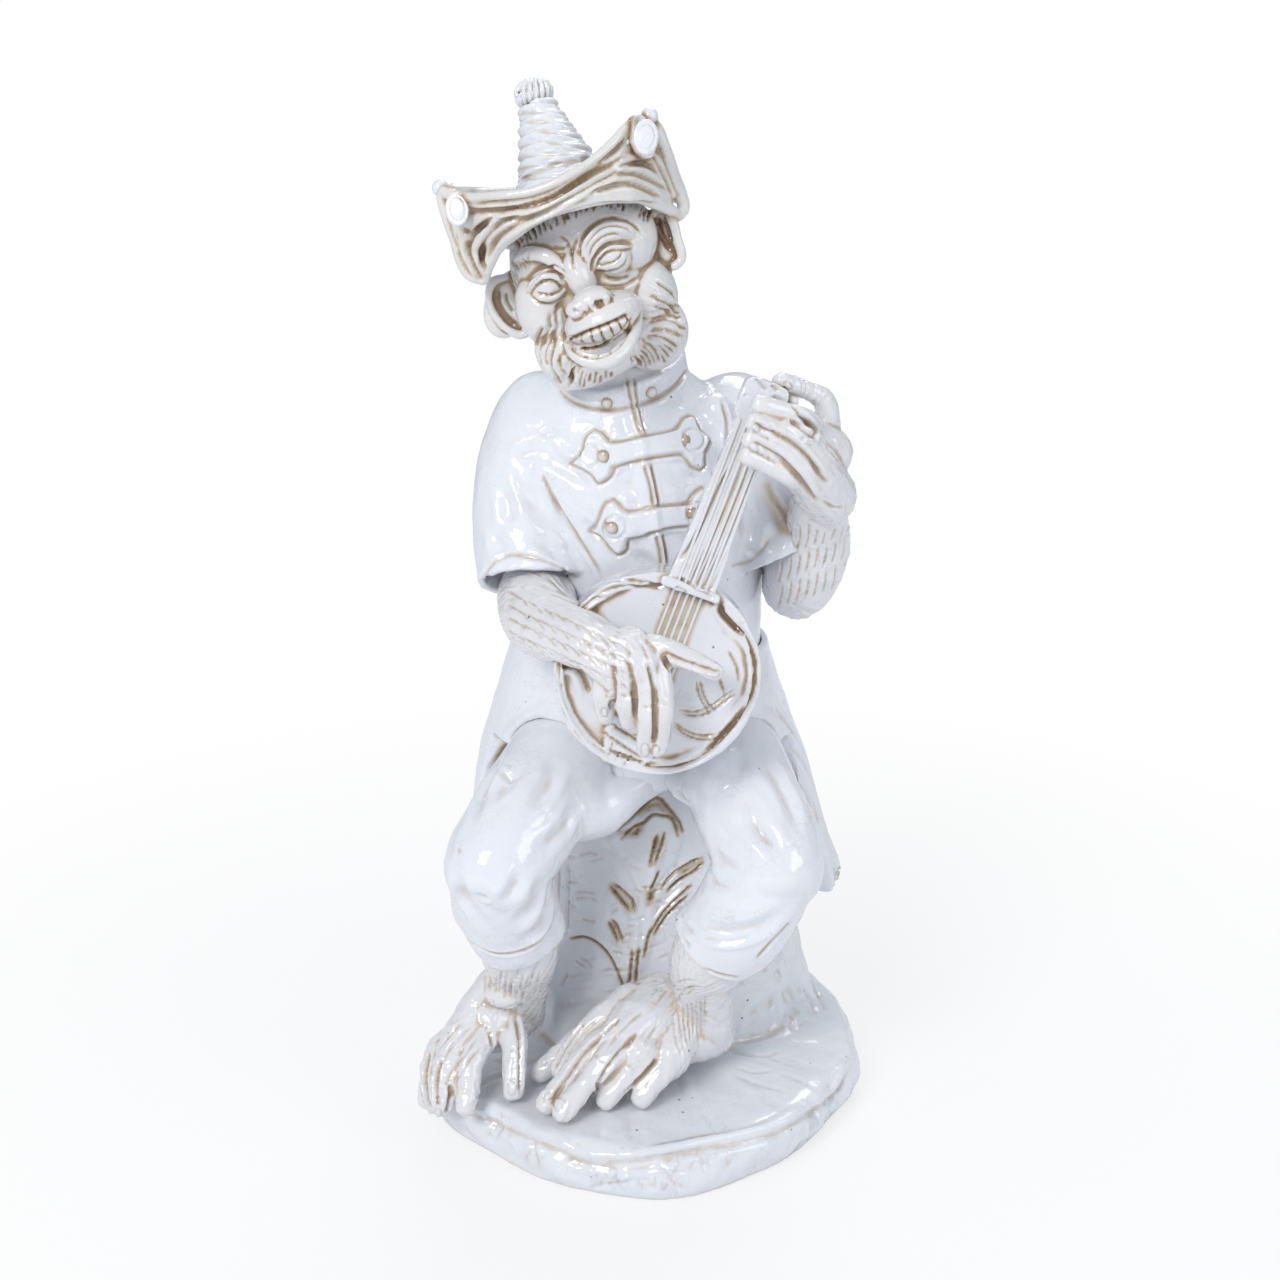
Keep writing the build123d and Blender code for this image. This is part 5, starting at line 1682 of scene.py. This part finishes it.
class Studio:
    """A pale floor, soft daylight and the camera."""

    def build(self) -> None:
        """Makes the stage."""
        scene = bpy.context.scene
        data = bpy.data.cameras.new("camera")
        data.sensor_width = 36
        data.lens = data.sensor_width * VIEW.focal / (2 * VIEW.middle)
        data.clip_start = 0.01
        camera = bpy.data.objects.new("camera", data)
        camera.location = VIEW.place
        camera.rotation_euler = (math.pi / 2 - VIEW.pitch, 0, 0)
        scene.collection.objects.link(camera)
        scene.camera = camera
        scene.view_settings.view_transform = "Standard"
        bpy.ops.mesh.primitive_plane_add(size=12, location=(0, 2, 0))
        floor = bpy.context.active_object
        floor.name = "floor"
        floor.data.materials.append(self.floor_material())
        for place, energy, size, colour in (
            ((-0.9, -1.6, 1.5), 25, 0.8, (1.0, 0.99, 0.98)),
            ((1.5, -1.0, 1.0), 7, 1.0, (0.93, 0.96, 1.0)),
            ((0.3, 1.2, 1.9), 12, 1.2, (0.95, 0.97, 1.0)),
        ):
            lamp = bpy.data.lights.new("lamp", "AREA")
            lamp.energy = energy
            lamp.size = size
            lamp.color = colour
            holder = bpy.data.objects.new("lamp", lamp)
            holder.location = place
            aim = Vector((0, 0, 0.25)) - Vector(place)
            holder.rotation_euler = aim.to_track_quat("-Z", "Y").to_euler()
            scene.collection.objects.link(holder)
        world = bpy.data.worlds.new("sky")
        scene.world = world
        world.use_nodes = True
        nodes, links = world.node_tree.nodes, world.node_tree.links
        sky = nodes["Background"]
        sky.inputs["Color"].default_value = (0.88, 0.93, 1.0, 1)
        sky.inputs["Strength"].default_value = 0.52
        backdrop = nodes.new("ShaderNodeBackground")
        backdrop.inputs["Color"].default_value = (1, 1, 1, 1)
        backdrop.inputs["Strength"].default_value = 1.0
        path = nodes.new("ShaderNodeLightPath")
        blend = nodes.new("ShaderNodeMixShader")
        links.new(path.outputs["Is Camera Ray"], blend.inputs["Fac"])
        links.new(sky.outputs["Background"], blend.inputs[1])
        links.new(backdrop.outputs["Background"], blend.inputs[2])
        links.new(blend.outputs["Shader"], nodes["World Output"].inputs["Surface"])

    def floor_material(self) -> bpy.types.Material:
        """Returns a pale floor that looks white to the camera and still takes a faint shadow."""
        material = bpy.data.materials.new("floor")
        material.use_nodes = True
        nodes, links = material.node_tree.nodes, material.node_tree.links
        shader = nodes["Principled BSDF"]
        shader.inputs["Base Color"].default_value = (0.86, 0.86, 0.87, 1)
        shader.inputs["Roughness"].default_value = 0.9
        glow = nodes.new("ShaderNodeEmission")
        glow.inputs["Color"].default_value = (1, 1, 1, 1)
        path = nodes.new("ShaderNodeLightPath")
        place = nodes.new("ShaderNodeTexCoord")
        away = nodes.new("ShaderNodeVectorMath")
        away.operation = "DISTANCE"
        away.inputs[1].default_value = (0, -2, 0)
        links.new(place.outputs["Object"], away.inputs[0])
        fade = nodes.new("ShaderNodeMapRange")
        fade.inputs["From Min"].default_value = 0.15
        fade.inputs["From Max"].default_value = 0.6
        fade.inputs["To Min"].default_value = 0.7
        links.new(away.outputs["Value"], fade.inputs["Value"])
        share = nodes.new("ShaderNodeMath")
        share.operation = "MULTIPLY"
        links.new(path.outputs["Is Camera Ray"], share.inputs[0])
        links.new(fade.outputs["Result"], share.inputs[1])
        blend = nodes.new("ShaderNodeMixShader")
        links.new(share.outputs[0], blend.inputs["Fac"])
        links.new(shader.outputs["BSDF"], blend.inputs[1])
        links.new(glow.outputs["Emission"], blend.inputs[2])
        links.new(blend.outputs["Shader"], nodes["Material Output"].inputs["Surface"])
        return material


def wash_and_shade_between(pieces: list[Clay]) -> None:
    """Adds wash and painted shade where two pieces meet."""
    trees = []
    for clay in pieces:
        polygons = [tuple(p.vertices) for p in clay.obj.data.polygons]
        trees.append((clay.co.min(0), clay.co.max(0), BVHTree.FromPolygons(clay.co.tolist(), polygons)))
    reach = 3.0 * MM
    for i, clay in enumerate(pieces):
        close = np.zeros(clay.count)
        for j, (low, high, tree) in enumerate(trees):
            if i == j:
                continue
            spots = np.flatnonzero(np.all((clay.co > low - reach) & (clay.co < high + reach), axis=1))
            for spot in spots:
                gap = tree.find_nearest(Vector(clay.co[spot]), reach)[3]
                if gap is not None:
                    close[spot] = max(close[spot], 1 - gap / reach)
        layer = clay.obj.data.attributes["hollow"]
        held = np.empty(clay.count, np.float32)
        layer.data.foreach_get("value", held)
        close = 0.5 * close + 0.5 * clay.around(close)
        # Darkens the glaze near other pieces: wash in the joins, partly painted shade.
        layer.data.foreach_set("value", np.clip(held + 0.8 * clay.pool * close, 0, 1).astype(np.float32))


FACE_NODES = [
    "head", "right_ear", "left_ear", "whisker_ruff", "lower_lip", "upper_teeth", "lower_teeth", "eyes"
]


def clothing() -> list[Casting]:
    """Returns the pieces of the monkey's clothes."""
    trim = ["torso", "right_sleeve", "left_sleeve", "collar", "placket", "upper_frog", "lower_frog"]
    return [
        Skirt("skirt", ["coat_skirt"], "white_glaze", CLOTH_GLAZE, voxel=1.3, rounds=8, pool=0.4, deep=0.5),
        Garment(
            "right_trousers", ["right_trouser_leg"], "white_glaze", CLOTH_GLAZE,
            voxel=1.1, rounds=14, pool=0.3, deep=0.35,
            folds=[
                [(452, 862), (462, 892), (478, 918), (492, 934)], [(524, 868), (513, 891), (503, 908)],
                [(541, 878), (531, 905), (514, 927)], [(549, 900), (541, 925), (520, 942)],
                [(506, 745), (484, 790), (468, 832)], [(522, 764), (505, 785), (488, 802)],
                [(578, 800), (562, 830), (535, 852)], [(560, 760), (545, 790), (522, 815)],
            ],
            creases=[
                [(478, 893), (483, 898), (489, 896)], [(500, 770), (510, 778), (520, 776)],
                [(456, 846), (460, 854)]
            ],
            hem=[[(457, 926), (472, 943), (495, 954), (520, 952), (540, 941), (551, 926)]],
            joins=[(575, 800, -60, 34), (635, 785, -44, 24), (480, 900, -76, 24)],
            coils=[
                (
                    [(556, 800, -50), (598, 806, -44), (638, 786, -34), (662, 777, -30)],
                    [23.0, 16.0, 10.0, 7.0]
                ),
                ([(466, 880, -72), (476, 915, -66), (500, 932, -64)], [9.0, 10.0, 9.0]),
            ],
        ),
        Garment(
            "left_trousers", ["left_trouser_leg"], "white_glaze", CLOTH_GLAZE,
            voxel=1.1, rounds=14, pool=0.3, deep=0.35,
            folds=[
                [(743, 750), (770, 775), (790, 810), (798, 846)], [(735, 784), (757, 818), (782, 857)],
                [(737, 812), (757, 832), (777, 852)], [(752, 745), (782, 782), (804, 830)],
                [(690, 925), (729, 932), (763, 925), (794, 902)], [(712, 852), (725, 866), (745, 872)],
                [(700, 866), (715, 880), (740, 886)], [(676, 790), (688, 815), (702, 838)],
            ],
            creases=[
                [(696, 937), (729, 942), (760, 935)], [(676, 905), (683, 925), (696, 935)],
                [(670, 915), (677, 935), (690, 948)], [(752, 822), (764, 836), (774, 846)],
            ],
            hem=[
                [(668, 940), (680, 955), (698, 966), (718, 974), (738, 978)],
                [(757, 958), (775, 938), (790, 922)]
            ],
            joins=[(700, 785, -52, 26)],
            coils=[([(718, 775, -48), (696, 785, -42), (676, 778, -34)], [17.0, 11.0, 8.0])],
        ),
        Jacket(
            "jacket", trim, "white_glaze", CLOTH_GLAZE,
            voxel=1.3, rounds=9, pool=0.22, deep=0.3,
            fine=(552, 372, 726, 572),
            joins=[(545, 455, -36, 36), (722, 440, -40, 30)],
            coils=[
                ([(545, 440, -25), (535, 470, -28), (548, 505, -34)], [10.0, 10.0, 6.0]),
                ([(716, 410, -30), (722, 440, -32), (720, 470, -34)], [8.0, 9.0, 6.0]),
            ],
            folds=[
                [(545, 450), (560, 463), (576, 476), (588, 494)],
                [(515, 465), (525, 455), (536, 452), (545, 458)], [(500, 480), (508, 505), (508, 535)],
                [(524, 488), (540, 515), (562, 540)], [(492, 525), (500, 545), (512, 555)],
                [(530, 530), (548, 545), (566, 562)], [(762, 486), (768, 505), (780, 530)],
                [(775, 492), (784, 510), (790, 532)], [(738, 500), (748, 525), (760, 545)],
                [(786, 520), (776, 536), (768, 552)],
            ],
            creases=[
                [(512, 470), (520, 490), (532, 510)], [(552, 500), (564, 520), (578, 540)],
                [(488, 560), (486, 585), (492, 608)], [(540, 440), (552, 432), (562, 436)],
                [(768, 484), (776, 500), (788, 516)], [(766, 496), (774, 514), (782, 534)],
                [(744, 545), (752, 552), (762, 548)],
            ],
            hem=[
                [(484, 574), (494, 563), (508, 555), (525, 556), (545, 561), (563, 569), (575, 577)],
                [(731, 566), (746, 563), (760, 553), (768, 540)],
            ],
        ),
        Trim("buttons_front", ["frog_buttons"], "white_glaze", CLOTH_GLAZE, voxel=0.6, rounds=2),
        Trim("buttons_collar", ["collar_buttons"], "white_glaze", CLOTH_GLAZE, voxel=0.6, rounds=2),
    ]


def limbs() -> list[Casting]:
    """Returns the arms and legs."""
    return [
        Limb(
            "right_arm", ["right_forearm", "right_hand"], "skin_glaze", FUR_GLAZE,
            voxel=0.75, rounds=10, pool=0.55, deep=0.8,
            coils=[
                ([(596, 652, -103), (618, 676, -110), (624, 694, -111)], [10.0, 8.5, 6.5]),
                ([(630, 648, -104), (642, 676, -110), (646, 696, -111)], [10.0, 8.5, 6.5]),
            ],
            axis=[(500, 615, -40), (560, 622, -70), (620, 650, -100)],
            bare=[(625, 700, -110, 32), (700, 668, -105, 24)],
            grooves=[
                [(613, 664), (614, 691), (611, 711)], [(627, 660), (633, 682), (635, 703), (637, 719)],
                [(648, 662), (654, 686), (655, 715), (654, 744)],
                [(662, 652), (674, 682), (677, 707), (670, 738), (662, 754)],
                [(662, 650), (684, 662), (706, 668), (722, 672)],
            ],
            creases=[
                [(603, 690), (608, 692), (613, 690)], [(619, 694), (626, 697), (634, 694)],
                [(640, 704), (648, 708), (655, 705)], [(658, 702), (667, 706), (676, 702)],
                [(604, 640), (612, 652), (614, 664)], [(622, 640), (628, 650), (630, 660)],
                [(640, 642), (646, 652), (649, 662)], [(690, 658), (694, 664), (692, 672)],
            ],
            hairs=[
                [
                    (506 + 13 * i, 592 + 6 * i + dv), (520 + 13 * i, 600 + 6 * i + dv),
                    (532 + 13 * i, 612 + 6 * i + dv)
                ]
                for i in range(9)
                for dv in (-2, 12, 25, 38)
            ],
            nail_ovals=[
                oval(645, 751, 4.5, 6.5), oval(656, 752, 4, 6), oval(713, 672, 8.5, 5.5, 8),
                oval(605, 713, 3.5, 4.5)
            ],
        ),
        Limb(
            "left_arm", ["left_forearm", "left_hand"], "skin_glaze", FUR_GLAZE,
            voxel=0.75, rounds=10, pool=0.55, deep=0.8,
            coils=[
                ([(778, 436, -86), (806, 464, -78), (828, 496, -58)], [10.0, 13.0, 13.0]),
                ([(796, 430, -78), (826, 452, -60)], [7.0, 12.0]),
            ],
            axis=[(800, 608, -40), (835, 540, -50), (825, 480, -60), (790, 430, -70)],
            bare=[(775, 440, -80, 30)],
            grooves=[
                [(754, 420), (764, 430), (786, 439), (804, 452), (817, 468), (825, 480)],
                [(751, 439), (764, 448), (780, 459), (797, 476), (808, 491), (816, 502)],
                [(778, 393), (799, 411), (814, 428), (827, 448), (838, 460)],
                [(795, 415), (801, 417), (814, 431), (816, 437), (804, 430), (790, 421)],
            ],
            creases=[
                [(770, 424), (774, 430), (772, 436)], [(765, 450), (770, 456), (768, 462)],
                [(812, 400), (816, 408), (812, 414)], [(800, 440), (806, 436), (812, 440)],
                [(812, 462), (818, 474), (830, 484)], [(822, 500), (834, 508), (846, 506)],
            ],
            hairs=[
                [
                    (782 + 9 * i, 532 + 5 * j - 3 * i), (781 + 9 * i, 546 + 5 * j - 3 * i),
                    (777 + 9 * i, 560 + 5 * j - 3 * i)
                ]
                for i in range(8)
                for j in (0, 5, 10)
            ],
            nail_ovals=[oval(757, 428, 5, 4, 20), oval(754, 448, 5, 4, 20), oval(788, 386, 5, 3.5, 30)],
        ),
        Limb(
            "right_leg", ["right_shin", "right_foot"], "skin_glaze", FUR_GLAZE,
            voxel=0.85, rounds=12, pool=0.5, deep=0.8,
            coils=[
                (
                    [
                        (494, 985, -46), (478, 1012, -50), (462, 1044, -62), (448, 1078, -76),
                        (441, 1102, -84)
                    ],
                    [9.0, 10.5, 11.5, 9.5, 6.0]
                ),
                ([(452, 1036, -58), (433, 1068, -66), (434, 1104, -80)], [5.5, 6.5, 5.0]),
                ([(496, 994, -57), (508, 997, -59), (520, 992, -55)], [5.5, 6.0, 5.5]),
            ],
            axis=[(515, 930, -40), (510, 1000, -70), (470, 1060, -105), (440, 1110, -120)],
            bare=[(515, 1070, -120, 26), (436, 1112, -110, 14)],
            grooves=[
                [(429, 1051), (425, 1073), (426, 1092), (433, 1112)],
                [(449, 1084), (451, 1094), (448, 1108), (444, 1118)],
                [(490, 1031), (494, 1055), (500, 1076), (505, 1092)],
                [(516, 1016), (520, 1043), (521, 1073), (520, 1094)],
                [(440, 1060), (436, 1085), (438, 1108)],
            ],
            creases=[
                [(490, 1022), (468, 1050), (448, 1080), (440, 1104)],
                [(478, 1020), (452, 1046), (436, 1074)], [(488, 1040), (468, 1062), (454, 1086)],
                [(468, 1016), (446, 1040), (432, 1060)], [(500, 1050), (508, 1052), (516, 1049)],
                [(490, 992), (493, 1003), (502, 1008), (513, 1006), (522, 1002)],
            ],
            hairs=[
                [
                    (486 + 5.5 * i, 966 + (i % 3) * 4), (485 + 5.2 * i, 978 + (i % 3) * 4),
                    (484 + 5 * i, 990 + (i % 3) * 4)
                ]
                for i in range(12)
            ]
            + [[(504 + 6 * i, 984), (505 + 6 * i, 994), (504 + 6 * i, 1003)] for i in range(4)]
            + [
                [(548 - 3 * i, 975 + 12 * i), (538 - 3 * i, 990 + 12 * i), (526 - 3 * i, 1004 + 12 * i)]
                for i in range(4)
            ],
            nail_ovals=[oval(512, 1088, 5, 8), oval(438, 1114, 4, 5, 20)],
        ),
        Limb(
            "left_leg", ["left_shin", "left_foot"], "skin_glaze", FUR_GLAZE,
            voxel=0.85, rounds=12, pool=0.5, deep=0.8,
            coils=[
                (
                    [(660, 1006, -48), (636, 1034, -66), (606, 1058, -76), (584, 1080, -82)],
                    [17.0, 17.0, 12.0, 7.0]
                ),
                ([(676, 1028, -58), (664, 1056, -72), (642, 1080, -80)], [14.0, 13.0, 7.5]),
                (
                    [(632, 1000, -50), (604, 1022, -58), (582, 1046, -65), (562, 1070, -76)],
                    [9.0, 9.0, 8.0, 5.5]
                ),
                ([(640, 1050, -78), (622, 1074, -82), (606, 1088, -84)], [9.0, 8.0, 6.0]),
            ],
            axis=[(700, 960, -50), (680, 1000, -75), (640, 1030, -110)],
            bare=[(590, 1060, -130, 50), (640, 1070, -125, 26)],
            grooves=[
                [(584, 1022), (563, 1051), (549, 1080)],
                [(620, 1018), (590, 1047), (563, 1084), (551, 1104)],
                [(637, 1033), (616, 1057), (598, 1084), (592, 1098)],
                [(657, 1059), (641, 1076), (624, 1093)],
            ],
            creases=[
                [(604, 1014), (580, 1036), (562, 1062)], [(650, 1004), (622, 1030), (600, 1056)],
                [(662, 1020), (650, 1036), (634, 1056)], [(590, 1052), (597, 1056), (603, 1062)],
                [(570, 1062), (577, 1066), (583, 1072)], [(673, 1018), (676, 1040), (683, 1056)],
                [(556, 1040), (562, 1044), (566, 1050)], [(626, 1064), (632, 1068), (636, 1074)],
            ],
            hairs=[
                [
                    (678 + 4.5 * i, 1006 - 2 * i), (680 + 4.2 * i, 1026 - 2 * i),
                    (684 + 3.5 * i, 1048 - 2 * i)
                ]
                for i in range(7)
            ]
            + [
                [
                    (642 + 8 * i, 984 + (i % 2) * 7), (654 + 8 * i, 980 + (i % 2) * 7),
                    (668 + 8 * i, 982 + (i % 2) * 7)
                ]
                for i in range(6)
            ]
            + [
                [(650 + 9 * i, 996 + (i % 2) * 5), (658 + 9 * i, 990), (668 + 9 * i, 990 - (i % 2) * 5)]
                for i in range(5)
            ],
            nail_ovals=[
                oval(544, 1062, 3.5, 5, 20), oval(547, 1097, 3.5, 5.5, 15), oval(559, 1104, 5, 6.5, 20)
            ],
        ),
    ]


def hat_and_head() -> list[Casting]:
    """Returns the head and the hat."""
    return [
        Head("face", FACE_NODES, "skin_glaze", FACE_GLAZE, voxel=0.68, rounds=4, pool=0.78),
        Brim("brim", ["hat_brim"], "hat_glaze", HAT_GLAZE, voxel=0.9, rounds=9, pool=0.62),
        Crown("crown", ["hat_crown"], "hat_glaze", CLOTH_GLAZE, voxel=0.75, rounds=4, pool=0.4),
        Tuft("tuft", ["pompom"], "hat_glaze", CLOTH_GLAZE, voxel=0.6, rounds=3, pool=0.5),
        Medallions("medallions", ["brim_medallions"], "hat_glaze", CLOTH_GLAZE, voxel=0.5, rounds=3),
        Trim("finials", ["brim_finials"], "hat_glaze", CLOTH_GLAZE, voxel=0.5, rounds=2),
    ]


def lute() -> list[Casting]:
    """Returns the castings of the lute."""
    drum = ["banjo_body", "banjo_rim", "banjo_bridge", "banjo_tailpiece"]
    handle = ["banjo_neck", "banjo_headstock", "banjo_nut"]
    return [
        Lute("drum", drum, "lute_glaze", LUTE_GLAZE, voxel=0.8, rounds=3, pool=0.8),
        Neck("neck", handle, "lute_glaze", LUTE_GLAZE, voxel=0.65, rounds=2, pool=0.35),
        Trim("pegs", ["banjo_pegs"], "lute_glaze", LUTE_GLAZE, voxel=0.5, rounds=2),
        Trim("strings", ["banjo_strings"], "lute_glaze", LUTE_GLAZE, voxel=0.35, rounds=1, pool=0.25),
    ]


def castings() -> list[Casting]:
    """Returns the castings of the figure, from the ground up."""
    fillets = [
        ([(706, 1014, -14), (740, 1014, -6), (772, 1006, 8), (792, 990, 24)], [13.0, 14.0, 14.0, 11.0]),
        ([(730, 1028, -20), (776, 1026, -4), (810, 1012, 18)], [8.0, 9.5, 9.0]),
        ([(614, 1000, -16), (578, 998, -13), (546, 988, -4)], [11.0, 12.0, 12.0]),
        ([(640, 1000, -18), (668, 1006, -16), (700, 1014, -14)], [11.0, 12.0, 13.0]),
    ]
    nodes = ["plinth", "rock_mound", "leaf_plant"]
    base = Base(
        "base", nodes, "washed_glaze", ROCK_GLAZE, voxel=1.56, rounds=8, pool=0.4, deep=0.8,
        fine=(556, 785, 712, 1000), coils=fillets,
    )
    return [base, *clothing(), *limbs(), *hat_and_head(), *lute()]


def main() -> None:
    """Builds the figure piece by piece, then the stage."""
    logging.basicConfig(level=logging.INFO, format="%(message)s")
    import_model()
    made = []
    for casting in castings():
        made += casting.build()
    wash_and_shade_between(made)
    Studio().build()


if __name__ == "__main__":
    main()
